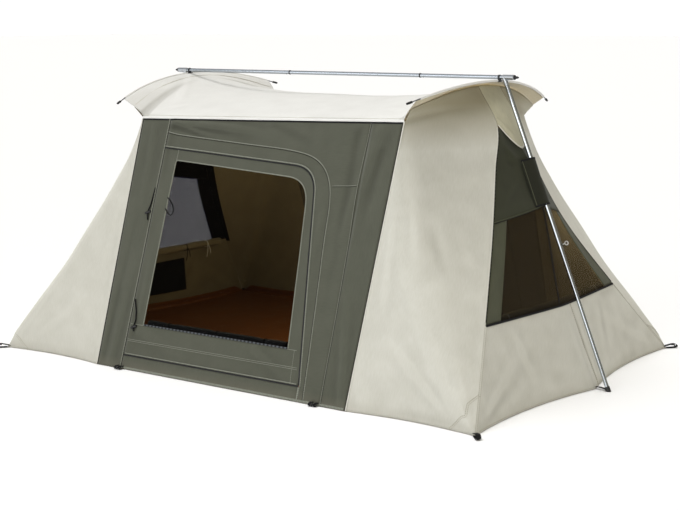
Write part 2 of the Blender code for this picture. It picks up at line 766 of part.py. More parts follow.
def end_pole(word, side, steel, galvanised, black):
    """An end pole: upper tube, sliding lower tube, foot and eye screw."""

    def at(height, out=0.0):
        point = on_pole(height, out)
        return Vector((side * point.x, point.y, point.z))

    down = Vector((side * POLE_AXIS.x, 0, POLE_AXIS.z))
    outward = Vector((side * OUT_OF_POLE.x, 0, OUT_OF_POLE.z))
    length = (at(UPPER_END_HEIGHT) - at(UPPER_TOP_HEIGHT)).length
    bore = LOWER_RADIUS + SLIDE_FIT
    upper = tube(f"pole_upper_{word}", UPPER_RADIUS, bore, length, steel, at(UPPER_TOP_HEIGHT), down)
    nut_start = at(EYE_HEIGHT, LOWER_RADIUS + 0.0008)
    nut = bar(f"screw_nut_{word}", 0.0085, 0.011, steel, nut_start, outward, sides=6)
    screw_hole = bar(f"screw_hole_{word}", 0.0034, 0.030, steel, at(EYE_HEIGHT, 0.004), outward, sides=16)
    combine(upper, nut, "UNION")
    combine(upper, screw_hole, "DIFFERENCE")

    foot_top = at(FOOT_HEIGHT)
    length = (foot_top - at(LOWER_TOP_HEIGHT)).length
    wall = LOWER_RADIUS - TUBE_WALL
    lower = tube(f"pole_lower_{word}", LOWER_RADIUS, wall, length, steel, at(LOWER_TOP_HEIGHT), down)

    foot = bar(f"pole_foot_{word}", FOOT_RADIUS, 0.060, black, at(FOOT_HEIGHT) + CLEAR * down, down)
    middle = side * POLE_FOOT_X
    below = box(f"ground_cut_{word}", (middle - 0.12, -0.06, -0.08), (middle + 0.12, 0.06, 0), black)
    combine(foot, below, "DIFFERENCE")

    ring_middle = at(EYE_HEIGHT, 0.054)
    bm = bmesh.new()
    ring_turn = Vector((0, 1, 0)).to_track_quat("Z", "Y").to_matrix().to_4x4()
    rings, sides, ring_radius, thick = 24, 8, 0.0125, 0.003
    grid = []
    for a in range(rings):
        angle = 2 * math.pi * a / rings
        centre = Vector((math.cos(angle), math.sin(angle), 0))
        circle = []
        for b in range(sides):
            turn = 2 * math.pi * b / sides
            offset = centre * (ring_radius + thick * math.cos(turn))
            offset.z = thick * math.sin(turn)
            circle.append(bm.verts.new(ring_turn @ offset + ring_middle))
        grid.append(circle)
    for a in range(rings):
        for b in range(sides):
            c, d = (a + 1) % rings, (b + 1) % sides
            bm.faces.new((grid[a][b], grid[c][b], grid[c][d], grid[a][d]))
    bmesh.ops.recalc_face_normals(bm, faces=bm.faces)
    eye = add_object(f"eye_screw_{word}", bm, galvanised, smooth=True)
    shank_start = at(EYE_HEIGHT, LOWER_RADIUS + SLIDE_FIT)
    shank = bar(f"screw_shank_{word}", 0.0026, 0.0275, galvanised, shank_start, outward, sides=16)
    combine(eye, shank, "UNION")
    set_origin(eye, shank_start)


def corner_stake(name, side, back, galvanised):
    """A stake's head at a corner, bent over the loop it holds."""
    x = FLOOR_LENGTH / 2 + STAKE_OUT[0]
    y = FLOOR_DEPTH / 2 + STAKE_OUT[1]
    towards = Vector((-0.7, -0.7, 0))
    base = Vector((x, y, 0))
    bend = 0.010
    points = [base, base + Vector((0, 0, STAKE_HEAD - bend))]
    for k in range(1, 5):
        angle = math.pi / 2 * k / 4
        up = Vector((0, 0, STAKE_HEAD - bend + bend * math.sin(angle)))
        points.append(base + up + towards * bend * (1 - math.cos(angle)))
    points.append(points[-1] + towards * 0.018)
    wire(name, mirrored(points, side, back), [STAKE_RADIUS] * len(points), galvanised)


def build():
    clear_scene()
    cream = finish("cream_canvas", "#D9D6CA", 0.9)
    roof_cream = finish("roof_canvas", "#F1EFE9", 0.9)
    dark = finish("sage_canvas", "#5A5E52", 0.9)
    mesh_cloth = finish("screen_mesh", "#3A352C", 0.8)
    floor_cloth = finish("floor_vinyl", "#7A3B1C", 0.6)
    steel = finish("zinc_steel_tube", "#C9CED2", 0.3, 1.0)
    spring_steel = finish("spring_steel", "#8C9094", 0.4, 1.0)
    galvanised = finish("galvanised_steel", "#B4B8BA", 0.45, 1.0)
    grey = finish("cast_fitting", "#8E9296", 0.5, 0.6)
    black = finish("black_nylon", "#17181A", 0.6)

    roof_canopy(roof_cream)
    groundsheet(floor_cloth)
    for word, side in (("front", 1), ("back", -1)):
        wall_panels(word, side, dark)
    door("front", 1, dark, mesh_cloth, dark)
    door("back", -1, dark, dark, None)
    for word, side in (("front", 1), ("back", -1)):
        for place_word, slope in SLIDER_SLOPES:
            zip_slider(f"{word}_zip_slider_{place_word}", slope, side, galvanised)
    ridge(steel, spring_steel)
    for word, side in (("left", -1), ("right", 1)):
        for depth, back in (("front", 1), ("back", -1)):
            corner_panel(f"corner_{depth}_{word}", side, back, cream)
            corner_stake(f"corner_stake_{depth}_{word}", side, -back, galvanised)
        end_lower_wall(f"end_lower_{word}", side, cream)
        end_yoke(f"end_yoke_{word}", side, dark)
        window_screen(f"window_screen_{word}", side, mesh_cloth)
        window_roll(f"window_roll_{word}", side, cream)
        pole_sleeve(f"pole_sleeve_{word}", side, dark)
        vent_hood(f"vent_hood_{word}", side, cream)
        tee(word, side, grey, black)
        bow_clamp(word, side, black)
        bow_rod(word, side, spring_steel)
        end_pole(word, side, steel, galvanised, black)


build()
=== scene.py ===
"""Looks of the canvas cabin tent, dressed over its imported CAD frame.

Metres, +Z up, ridge along X, front wall towards -Y. The sections follow the order in which
the tent is put up: floor, corners, walls, doors, end walls, roof, rods, ridge and poles.
"""

import math

import bpy
import numpy as np
from mathutils import Matrix, Vector, noise


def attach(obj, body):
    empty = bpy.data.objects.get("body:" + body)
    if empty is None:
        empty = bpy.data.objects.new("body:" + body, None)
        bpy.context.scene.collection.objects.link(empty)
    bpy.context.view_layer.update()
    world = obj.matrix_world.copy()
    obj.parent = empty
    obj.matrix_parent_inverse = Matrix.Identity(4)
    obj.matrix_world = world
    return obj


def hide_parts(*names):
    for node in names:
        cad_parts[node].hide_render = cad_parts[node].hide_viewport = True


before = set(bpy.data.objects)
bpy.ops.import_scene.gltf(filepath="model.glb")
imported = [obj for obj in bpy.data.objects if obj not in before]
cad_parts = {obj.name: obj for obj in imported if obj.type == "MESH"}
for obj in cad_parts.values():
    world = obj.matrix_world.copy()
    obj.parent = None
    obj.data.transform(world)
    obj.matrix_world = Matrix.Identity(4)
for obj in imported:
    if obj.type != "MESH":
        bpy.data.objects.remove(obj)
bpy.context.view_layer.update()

# The camera
# It stands where the photograph was taken from, front right and a little above the ridge,
# worked out from the tent's stakes, eaves, ridge and pole feet.

CAMERA_AT = Vector((6.477, -8.842, 2.564))
CAMERA_YAW, CAMERA_PITCH, CAMERA_ROLL = -0.6279, -0.1654, -0.0057
FOCAL_PIXELS = 1433.6
PHOTO_WIDTH = 680
SENSOR_WIDTH = 36.0
FARTHEST_SEEN = 400

ahead = Vector((math.sin(CAMERA_YAW), math.cos(CAMERA_YAW), 0)) * math.cos(CAMERA_PITCH)
ahead.z = math.sin(CAMERA_PITCH)
level = Vector((math.cos(CAMERA_YAW), -math.sin(CAMERA_YAW), 0))
above = level.cross(ahead)
camera_right = math.cos(CAMERA_ROLL) * level + math.sin(CAMERA_ROLL) * above
camera_up = math.cos(CAMERA_ROLL) * above - math.sin(CAMERA_ROLL) * level
camera = bpy.data.objects.new("camera", bpy.data.cameras.new("camera"))
bpy.context.scene.collection.objects.link(camera)
turn = Matrix((camera_right, camera_up, -ahead)).transposed().to_4x4()
camera.matrix_world = Matrix.Translation(CAMERA_AT) @ turn
camera.data.sensor_width = SENSOR_WIDTH
camera.data.lens = FOCAL_PIXELS * SENSOR_WIDTH / PHOTO_WIDTH
camera.data.clip_end = FARTHEST_SEEN
bpy.context.scene.camera = camera

# The studio
# A white floor out to the horizon and a soft room, brightest overhead and to the left, with
# a broad lamp overhead and another at the front right. A weak warm lamp inside the tent
# stands for the daylight that comes through the canvas.

ROOM_LEVEL = 0.315
ROOM_TOWARDS = (-0.14, -0.08, 0.30)
HORIZON_LOW, HORIZON_HIGH, HORIZON_LEVEL = 0.04, 0.12, 1.04
OVERHEAD_STRENGTH = 1.80
OVERHEAD_AT = Vector((0, 0, 6))
OVERHEAD_FROM = Vector((-0.22, 0.02, 0.975))
OVERHEAD_SPREAD = math.radians(40)
FRONT_POWER = 42
FRONT_SIZE = 1.6
FRONT_AT = Vector((1.2, -5.0, 4.4))
FRONT_AIM = Vector((0.9, -1.1, 0.9))
INSIDE_POWER = 56
INSIDE_SIZE = 0.30
INSIDE_AT = Vector((0.35, -0.25, 1.20))
CARD_POWER = 760
CARD_SIZE = (22.0, 4.4)
CARD_AT = Vector((-1.0, -13.0, 3.0))
FLOOR_REACH = 150
FLOOR_DROP = -0.001
COLOURS = {"data_type": "RGBA"}


def linear(colour):
    """An sRGB hex colour as linear red, green, blue and alpha."""
    parts = [int(colour[i : i + 2], 16) / 255 for i in (1, 3, 5)]
    return (*[c / 12.92 if c <= 0.04045 else ((c + 0.055) / 1.055) ** 2.4 for c in parts], 1)


def plug(tree, node, **sockets):
    """Sets a node's sockets, by name or _number, to a value or to another node's output."""
    for name, value in sockets.items():
        key = int(name[1:]) if name[0] == "_" else name.replace("_", " ")
        if isinstance(value, bpy.types.NodeSocket):
            tree.links.new(value, node.inputs[key])
        else:
            node.inputs[key].default_value = value
    return node


def add_node(tree, kind, settings=(), **sockets):
    """Adds a shader node with its own settings, and plugs its sockets."""
    node = tree.nodes.new("ShaderNode" + kind)
    for name, value in dict(settings).items():
        setattr(node, name, value)
    return plug(tree, node, **sockets)


def new_material(name):
    """A material with its node tree and its shader."""
    material = bpy.data.materials.new(name)
    material.use_nodes = True
    return material, material.node_tree, material.node_tree.nodes["Principled BSDF"]


bpy.context.scene.view_settings.view_transform = "Standard"
studio_room = bpy.data.worlds.new("studio_room")
studio_room.use_nodes = True
bpy.context.scene.world = studio_room
tree = studio_room.node_tree
tree.nodes.clear()
way = add_node(tree, "TexCoord").outputs["Generated"]
split = add_node(tree, "SeparateXYZ", _0=way)
lean = add_node(tree, "VectorMath", {"operation": "DOT_PRODUCT"}, _0=way, _1=ROOM_TOWARDS)
level_here = add_node(tree, "Math", {"operation": "ADD"}, _0=lean.outputs["Value"], _1=ROOM_LEVEL)
# The lowest few degrees are white, so that the floor has no edge
just_above = {"Value": split.outputs["Z"], "From_Min": HORIZON_LOW, "From_Max": HORIZON_HIGH}
smooth = {"interpolation_type": "SMOOTHSTEP"}
horizon = add_node(
    tree, "MapRange", smooth, **just_above, To_Min=HORIZON_LEVEL, To_Max=level_here.outputs[0]
)
warmth = add_node(tree, "MapRange", Value=split.outputs["X"], From_Min=-0.3)
upwards = add_node(tree, "MapRange", **just_above)
warm = add_node(tree, "Math", {"operation": "MULTIPLY"}, _0=warmth.outputs[0], _1=upwards.outputs[0])
tint = add_node(tree, "Mix", COLOURS, Factor=warm.outputs[0], _6=linear("#FFFFFF"), _7=linear("#FFF3D2"))
sky = add_node(tree, "Background", Color=tint.outputs[2], Strength=horizon.outputs[0])
add_node(tree, "OutputWorld", Surface=sky.outputs[0])


def add_lamp(name, kind, power, colour, at, beam_from):
    """A lamp of the studio, which the camera doesn't see itself."""
    lamp = bpy.data.objects.new(name, bpy.data.lights.new(name, kind))
    lamp.data.energy = power
    lamp.data.color = linear(colour)[:3]
    lamp.location = at
    lamp.rotation_euler = beam_from.to_track_quat("Z", "Y").to_euler()
    lamp.visible_camera = False
    bpy.context.scene.collection.objects.link(lamp)
    return lamp


overhead = add_lamp("overhead_lamp", "SUN", OVERHEAD_STRENGTH, "#FFFFFF", OVERHEAD_AT, OVERHEAD_FROM)
overhead.data.angle = OVERHEAD_SPREAD
# It isn't mirrored in metal, so that a tube keeps the one bright line of the card
overhead.visible_glossy = False
front = add_lamp("front_lamp", "AREA", FRONT_POWER, "#F8FCFF", FRONT_AT, FRONT_AT - FRONT_AIM)
front.data.size = FRONT_SIZE
inside = add_lamp("inside_lamp", "POINT", INSIDE_POWER, "#FFEFC0", INSIDE_AT, Vector((0, 0, 1)))
inside.data.shadow_soft_size = INSIDE_SIZE
# A white card behind the camera, which only shows as the bright line down a metal tube
card = add_lamp("white_card", "AREA", CARD_POWER, "#FFFFFF", CARD_AT, Vector((0, -1, 0)))
card.data.shape = "RECTANGLE"
card.data.size, card.data.size_y = CARD_SIZE
card.visible_diffuse = False

floor_mesh = bpy.data.meshes.new("studio_floor")
floor_corners = ((-1, -1), (1, -1), (1, 1), (-1, 1))
floor_mesh.from_pydata(
    [(x * FLOOR_REACH, y * FLOOR_REACH, FLOOR_DROP) for x, y in floor_corners], [], [(0, 1, 2, 3)]
)
floor = bpy.data.objects.new("studio_floor", floor_mesh)
bpy.context.scene.collection.objects.link(floor)
# Matt white paper, which shows the soft shadow and nothing else
paper, tree, shader = new_material("matt_white_paper")
plug(tree, shader, Base_Color=linear("#FAFAFB"), Roughness=1.0, Specular_IOR_Level=0.1)
floor_mesh.materials.append(paper)

# Groundsheet
# One sheet of vinyl-coated fabric, rust brown, sewn to the foot of every wall. It lies on
# the ground, a little wavy, and its edges turn up the walls as far as the seam.

FLOOR_LENGTH = 4.27
FLOOR_DEPTH = 2.90
END_HEM_REACH = 0.105
END_HEM_SAG = 0.075
HEM_LIFT = 0.0020
HEM_HOLLOW = 0.045
DARK_HALF_BOTTOM = 1.138
FLOOR_INSET = 0.003
FLOOR_HEIGHT = 0.0032
# How high the edges turn up, at a corner and elsewhere, and how far they lean in
CORNER_UPSTAND = 0.004
UPSTAND = 0.065
UPSTAND_TURN = 0.03
UPSTAND_LEAN = 0.62
END_UPSTAND_TUCK = 0.9
# Shares of an end and of a side over which the edge comes down to its corner
END_TAPER, SIDE_TAPER = 0.10, 0.08
# Share beside the edges where the waves die out
CALM_EDGE = 0.05
# Waves of the sheet: height, size and seed
FLOOR_WAVES = ((0.006, 0.30, 2), (0.003, 0.11, 5))
VINYL_THICK = 0.0008
DUCK_THICK = 0.0012
# The tent stands a little twisted, with its eaves over their level, as its cloth has settled
CORNER_TWIST = 0.030
TWIST_FULL_HEIGHT = 1.81
EAVE_LIFT = 0.026
EAVE_LIFT_TOP = 1.98
RIDGE_CALM = 0.6
# Finer ripples on slack cloth: height and size as shares of the main ones
FINE_HEIGHT, FINE_SIZE = 0.35, 0.36
# A fold widens from its start to its end, and dies out at both
FOLD_NARROW, FOLD_WIDENS = 0.45, 0.9
FOLD_BEGINS, FOLD_ENDS, FOLD_LEFT = 3.5, 2.2, 0.1
# How far a long wall leans in for each metre of its height, so that it slides in its plane
WALL_LEAN = 0.341


def ease(share):
    """A smooth step from 0 to 1."""
    share = np.clip(share, 0, 1)
    return share * share * (3 - 2 * share)


def end_hem(share):
    """The hem of the right end wall on the ground, share -1 at the front stake to 1."""
    u = abs(share)
    x = FLOOR_LENGTH / 2 + END_HEM_REACH * (1 - u) - END_HEM_SAG * 4 * u * (1 - u)
    return Vector((x, share * FLOOR_DEPTH / 2, HEM_LIFT))


def rows_of(surface, across, up):
    """A grid of points of a surface, one row for each step up."""
    return np.array([[tuple(surface(float(u), float(v))) for u in across] for v in up])


def ripple(points, size, seed):
    """Smooth uneven slack of about that size in metres, from -1 to 1, at each point."""
    flat = points.reshape(-1, 3) / size + seed * 7.31
    return np.array([noise.noise(Vector(p)) for p in flat]).reshape(points.shape[:-1])


def cut_lengths(grid):
    """Each point's place in the flat cloth, in metres: along the weft, then the warp."""
    weft = np.zeros(grid.shape[:2])
    warp = np.zeros(grid.shape[:2])
    weft[:, 1:] = np.cumsum(np.linalg.norm(np.diff(grid, axis=1), axis=2), axis=1)
    warp[1:] = np.cumsum(np.linalg.norm(np.diff(grid, axis=0), axis=2), axis=0)
    return weft, warp


def out_normals(grid, inside=(0, 0, 1)):
    """The cloth's normals at each point of a grid, away from a point inside the tent."""
    normals = np.cross(np.gradient(grid, axis=1), np.gradient(grid, axis=0))
    normals /= np.maximum(np.linalg.norm(normals, axis=2, keepdims=True), 1e-9)
    facing = ((grid - np.array(inside)) * normals).sum()
    return normals if facing > 0 else -normals


def relieve(grid, height, size, seed, folds=(), margin=0.06, free=""):
    """Lets a stretched sheet wave: slack all over, and folds (start, end, width, height).

    It dies out towards the sewn edges, over the margin; free names the edges where not."""
    weft, warp = cut_lengths(grid)
    lift = height * (ripple(grid, size, seed) + FINE_HEIGHT * ripple(grid, size * FINE_SIZE, seed + 3))
    for start, end, width, rise in folds:
        start, run = np.array(start), np.array(end) - np.array(start)
        share = ((grid - start) @ run) / (run @ run)
        near = start + np.clip(share, 0, 1)[..., None] * run
        gap = np.linalg.norm(grid - near, axis=2)
        wide = width * (FOLD_NARROW + FOLD_WIDENS * np.clip(share, 0, 1))
        along_fold = ease(share * FOLD_BEGINS) * ease((1 - share) * FOLD_ENDS + FOLD_LEFT)
        lift += rise * np.exp(-((gap / wide) ** 2)) * along_fold
    gaps = {"left": weft, "right": weft[:, -1:] - weft, "bottom": warp, "top": warp[-1:] - warp}
    for name, gap in gaps.items():
        if name not in free:
            lift *= ease(gap / margin)
    return grid + lift[..., None] * out_normals(grid)


def settled(points):
    """The tent as it stands: a little twisted, and its eaves a little over their level."""
    points = np.array([tuple(p) for p in points], float)
    x, y, z = points.T
    share = np.clip(z / TWIST_FULL_HEIGHT, 0, 1) ** 2
    under_roof = ease((EAVE_LIFT_TOP - z) / (EAVE_LIFT_TOP - TWIST_FULL_HEIGHT))
    lift = share * (under_roof * ease(np.abs(y) / RIDGE_CALM) * EAVE_LIFT - CORNER_TWIST * x * y)
    points[:, 2] += lift
    points[:, 1] -= np.clip(y / RIDGE_CALM, -1, 1) * lift * WALL_LEAN
    return points


def add_mesh(name, points, faces, materials, cut, sharp=None):
    """A smooth mesh that knows each point's place on the flat cloth or round the bar."""
    mesh = bpy.data.meshes.new(name)
    mesh.from_pydata(settled(points).tolist(), [], faces)
    for material in materials:
        mesh.materials.append(material)
    place = mesh.attributes.new("cut", "FLOAT_VECTOR", "POINT")
    place.data.foreach_set("vector", np.asarray(cut, np.float32).ravel())
    mesh.shade_smooth()
    if sharp:
        mesh.set_sharp_from_angle(angle=math.radians(sharp))
    obj = bpy.data.objects.new(name, mesh)
    bpy.context.scene.collection.objects.link(obj)
    return obj


def crests(grid, inside, reach=3):
    """How far each point of a sheet stands proud of the cloth round it; valleys are below 0."""
    wide = np.pad(grid, ((reach, reach), (reach, reach), (0, 0)), "reflect", reflect_type="odd")
    rows, columns = grid.shape[:2]
    steps = range(2 * reach + 1)
    around = sum(wide[i : i + rows, j : j + columns] for i in steps for j in steps) / len(steps) ** 2
    return ((grid - around) * out_normals(grid, inside)).sum(axis=2)


def add_cloth(name, grid, face, lining, thickness, keep=None, wrap=False, inside=(0, 0, 1)):
    """A sheet of cloth from a grid of points, with its lining towards a point inside."""
    height, width = grid.shape[:2]
    quads = []
    for i in range(height - 1):
        for j in range(width if wrap else width - 1):
            k = (j + 1) % width
            if keep is None or keep(i, j):
                quads.append((i * width + j, i * width + k, (i + 1) * width + k, (i + 1) * width + j))
    corner = np.array(quads)
    flat = grid.reshape(-1, 3)
    normal = np.cross(flat[corner[:, 2]] - flat[corner[:, 0]], flat[corner[:, 3]] - flat[corner[:, 1]])
    if (normal * (flat[corner].mean(axis=1) - np.array(inside))).sum() < 0:
        quads = [quad[::-1] for quad in quads]
    used = np.unique(corner)
    renumber = {int(old): new for new, old in enumerate(used)}
    quads = [tuple(renumber[int(i)] for i in quad) for quad in quads]
    cut = np.stack([*cut_lengths(grid), crests(grid, inside)], axis=2).reshape(-1, 3)[used]
    obj = add_mesh(name, flat[used], quads, [face, lining], cut)
    solid = obj.modifiers.new("Thickness", "SOLIDIFY")
    solid.thickness = thickness
    solid.offset = -1
    solid.material_offset = 1
    return obj


def dress(piece, body, stands_for=None):
    """Rides a piece on its body and puts it in a plain solid's place."""
    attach(piece, body)
    if stands_for:
        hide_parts(stands_for)


def add_sheet(
    name,
    grid,
    cloths,
    finish,
    stands_for,
    flat,
    area=None,
    body="shell",
    held="stretched",
    thickness=DUCK_THICK,
    **how,
):
    """A sheet of the tent. cloths are its face and its lining; flat, the size it was cut to, is not used."""
    piece = add_cloth(name, grid, *cloths, thickness, **how)
    dress(piece, body, stands_for)


def coated_vinyl(name, colour, worn):
    """PVC-coated polyester: a dull sheen, a fine grain and faint scuffs where it is trodden."""
    material, tree, shader = new_material(name)
    place = add_node(tree, "TexCoord").outputs["Object"]
    # Scuffs about 120 mm across, and an embossed grain of 1.6 mm drawn at 4 mm
    scuff = add_node(tree, "TexNoise", Vector=place, Scale=8.0, Detail=4.0, Roughness=0.6).outputs["Fac"]
    grain = add_node(tree, "TexVoronoi", Vector=place, Scale=250.0).outputs["Distance"]
    mixed = add_node(tree, "Mix", COLOURS, Factor=scuff, _6=linear(colour), _7=linear(worn)).outputs[2]
    rough = add_node(tree, "MapRange", Value=scuff, To_Min=0.42, To_Max=0.62).outputs[0]
    bump = add_node(tree, "Bump", Height=grain, Strength=0.25, Distance=0.0006).outputs[0]
    plug(tree, shader, Base_Color=mixed, Roughness=rough, Normal=bump, IOR=1.53)
    return material


def within(low, value, high):
    """A number kept between two others."""
    return min(high, max(low, value))


def floor_point(u, v):
    """A point of the floor, drawn in where the hems of the corner panels are hollow.

    Beyond 1 the sheet turns up the wall, except at the corners."""
    end_up, side_up = (max(0.0, abs(share) - 1) / UPSTAND_TURN for share in (u, v))
    u, v = within(-1.0, u, 1.0), within(-1.0, v, 1.0)
    x = u * (end_hem(v).x - FLOOR_INSET)
    past_dark = within(0.0, (abs(x) - DARK_HALF_BOTTOM) / (FLOOR_LENGTH / 2 - DARK_HALF_BOTTOM), 1.0)
    hollow = HEM_HOLLOW * math.sin(math.pi * past_dark)
    y = v * (FLOOR_DEPTH / 2 - FLOOR_INSET - hollow)
    end_rise = end_up * (CORNER_UPSTAND + UPSTAND * float(ease((1 - abs(v)) / END_TAPER)))
    side_rise = side_up * (CORNER_UPSTAND + UPSTAND * float(ease((1 - abs(u)) / SIDE_TAPER)))
    x -= u * UPSTAND_LEAN * end_rise
    y -= v * (UPSTAND_LEAN * side_rise + END_UPSTAND_TUCK * end_rise)
    return Vector((x, y, FLOOR_HEIGHT + end_rise + side_rise))


turned = [1 + UPSTAND_TURN / 2, 1 + UPSTAND_TURN]
lengthwise = np.array([-turned[1], -turned[0], *np.linspace(-1, 1, 121), *turned])
crosswise = np.array([-turned[1], -turned[0], *np.linspace(-1, 1, 85), *turned])
floor_grid = rows_of(floor_point, lengthwise, crosswise)
waves = sum(height * np.abs(ripple(floor_grid, size, seed)) for height, size, seed in FLOOR_WAVES)
from_edge = np.minimum(1 - np.abs(lengthwise)[None], 1 - np.abs(crosswise)[:, None])
floor_grid[..., 2] += waves * ease(from_edge / CALM_EDGE)


def in_one_wall(i, j):
    """False for the squares past both edges, which the sheet doesn't have at its corners."""
    return abs(crosswise[i] + crosswise[i + 1]) < 2 or abs(lengthwise[j] + lengthwise[j + 1]) < 2


vinyl = coated_vinyl("vinyl_coated_polyester", "#643712", "#7C4A20")
add_sheet(
    "vinyl_floor",
    floor_grid,
    (vinyl, vinyl),
    "floor_vinyl",
    "groundsheet",
    (4.45, 3.01),
    12.9,
    held="laid",
    thickness=VINYL_THICK,
    keep=in_one_wall,
    inside=(0, 0, -1),
)

# Corner panels
# Four panels of undyed cotton duck. Each is sewn to a dark wall panel, turns the corner in
# one broad soft fold from the stake up to the eave, and runs on to the end wall's seam.

CORNERS = (("front_right", 1, 1), ("front_left", -1, 1), ("back_right", 1, -1), ("back_left", -1, -1))
EAVE_HEIGHT = 1.811
EAVE_OUT = 0.833
EAVE_HALF = 1.187
DARK_HALF_TOP = 1.180
BOW_MID = (1.4485, 0.0, 2.108)
BOW_TIP = (1.330, 0.882, 1.980)
CANVAS_TO_ROD = 0.0075
ROOF_MID_HEIGHT = 1.973
ROOF_FLAP = 0.075
EAVE_LIP = 0.0045
ROOF_RISE_POWER = 3.2
CORNER_HOLLOW = 0.7
UNDER_ROOF = 0.010
# The seam to the end wall: height, x and y. It ends under the roof's end edge, at this share
# of the way from the ridge to the eave
SEAM = (
    (0.000, 2.135, 1.450),
    (0.571, 1.905, 0.945),
    (1.150, 1.686, 0.478),
    (1.500, 1.590, 0.285),
    (1.800, 1.530, 0.165),
)
SEAM_TOP_SHARE = 0.168
# Distance up the slope and x of the line where a panel turns its corner. Three corners are
# pulled tight and turn sharply, and the front right one hangs slack.
TIGHT_FOLD = (
    (0.00, 2.135),
    (0.15, 2.085),
    (0.30, 1.990),
    (0.70, 1.728),
    (1.00, 1.568),
    (1.40, 1.354),
    (1.60, 1.266),
    (1.75, 1.222),
    (1.913, 1.190),
)
SLACK_FOLD = (
    (0.00, 2.135),
    (0.30, 1.910),
    (0.70, 1.672),
    (1.00, 1.486),
    (1.40, 1.290),
    (1.75, 1.198),
    (1.913, 1.190),
)
TIGHT_TURN, SLACK_TURN = 0.08, 0.17
# The turn is widest halfway up, and never takes more than these shares of either part
TURN_START, TURN_SPAN = 0.02, 0.96
MOST_OF_FLAT, MOST_OF_END = 0.9, 0.45
EAVE_SHARE_UP = 0.93
HEM_HOLLOW_HEIGHT = 0.40
WALL_TOP_GAP = 0.004
WINDOW_SILL = 0.571
HOOD_CORNER_HEIGHT = 1.800
SEAM_WIDTH = 0.010
SEAM_HEIGHT = 0.0022
EDGE_WIDTH = 0.0085
# How dark the painted shade in the valleys of the creases is
CREASE_SHADE = 0.40
OVERLAID = {"data_type": "RGBA", "blend_type": "OVERLAY"}
MULTIPLIED = {"data_type": "RGBA", "blend_type": "MULTIPLY"}
# A raised strip's cross-section: shares of its width and of its height
BAND_PROFILE = ((-0.5, -0.3), (-0.46, 0.55), (-0.3, 1.0), (0.3, 1.0), (0.46, 0.55), (0.5, -0.3))
# A wave texture at scale 1 repeats every 0.314 m
WAVE_PERIOD = 0.314
FACING_COLUMNS = 7
FACING_IN = 0.0045
THIN_CLOTH = 0.0006
FLAT_STEPS, END_STEPS = 40, 52
WALL_ROWS, EAVE_ROWS = 92, 8
# Folds that the stake pulls into the panel, and the slack ones beside the turn
CORNER_FOLDS = (
    ((2.04, -1.38, 0.12), (1.50, -0.97, 1.40), 0.060, 0.015),
    ((2.05, -1.32, 0.16), (1.70, -0.64, 1.15), 0.050, -0.004),
    ((1.98, -1.40, 0.12), (1.44, -1.12, 1.00), 0.055, -0.004),
    ((1.90, -1.41, 0.08), (1.34, -1.26, 0.50), 0.040, 0.005),
    ((2.08, -1.28, 0.10), (2.00, -0.95, 0.48), 0.034, 0.006),
    ((1.33, -0.80, 1.78), (1.62, -1.02, 0.80), 0.045, -0.016),
    ((1.27, -0.86, 1.75), (1.50, -1.10, 0.75), 0.042, 0.014),
    ((1.38, -0.66, 1.88), (1.76, -0.82, 0.80), 0.045, 0.013),
    ((1.42, -0.42, 1.93), (1.66, -0.60, 1.30), 0.034, -0.008),
    ((1.24, -1.00, 1.30), (1.30, -1.28, 0.55), 0.040, 0.005),
)

WALL_RUN = FLOOR_DEPTH / 2 - EAVE_OUT
WALL_SLOPE = math.hypot(WALL_RUN, EAVE_HEIGHT)
UP_WALL = Vector((0, WALL_RUN / WALL_SLOPE, EAVE_HEIGHT / WALL_SLOPE))
OUT_OF_WALL = Vector((0, -UP_WALL.z, UP_WALL.y))
INNER_EDGE = 1 - ROOF_FLAP / BOW_MID[0]
EAVE_SHARE = EAVE_HALF / (BOW_TIP[0] - CANVAS_TO_ROD)


def along(knots, key):
    """The smooth curve through a few knots, each (key, value, ...), read at one key."""
    table = np.array(knots, float)
    keys, values = table[:, 0], table[:, 1:]
    slopes = np.gradient(values, keys, axis=0)
    i = int(np.clip(np.searchsorted(keys, key) - 1, 0, len(keys) - 2))
    span = keys[i + 1] - keys[i]
    t = (key - keys[i]) / span
    start = (1 + 2 * t) * (1 - t) ** 2 * values[i] + t * (1 - t) ** 2 * span * slopes[i]
    end = t * t * (3 - 2 * t) * values[i + 1] + t * t * (t - 1) * span * slopes[i + 1]
    return start + end


def on_wall(x, slope, depth=0.0, side=1):
    """A point of the front wall (side 1), or of the back wall as seen from behind (-1)."""
    point = Vector((x, -FLOOR_DEPTH / 2, 0)) + slope * UP_WALL - depth * OUT_OF_WALL
    return Vector((side * point.x, side * point.y, point.z))


def dark_half(slope):
    """Half the width of the dark panels, that far up the slope of a long wall."""
    return DARK_HALF_BOTTOM + (DARK_HALF_TOP - DARK_HALF_BOTTOM) * slope / WALL_SLOPE


def on_roof(p, q):
    """A point of the roof: p runs from end to end, q from front to back, both -1 to 1."""
    edge = BOW_MID[0] - CANVAS_TO_ROD - (BOW_MID[0] - BOW_TIP[0]) * q * q
    corner = max(0.0, (abs(p) - EAVE_SHARE) / (1 - EAVE_SHARE))
    out = EAVE_OUT + (BOW_TIP[1] - EAVE_OUT) * corner
    middle = ROOF_MID_HEIGHT + (BOW_MID[2] - ROOF_MID_HEIGHT) * abs(p) ** ROOF_RISE_POWER
    eave = EAVE_HEIGHT + EAVE_LIP
    border = eave + (BOW_TIP[2] - eave) * corner**CORNER_HOLLOW
    return Vector((p * edge, q * out, middle + (border - middle) * q * q))


def under_roof_edge(q):
    """Where an end wall hangs under the roof, inside its overhang."""
    return on_roof(INNER_EDGE, q) - Vector((0, 0, UNDER_ROOF))


SEAM_TOP = under_roof_edge(SEAM_TOP_SHARE)


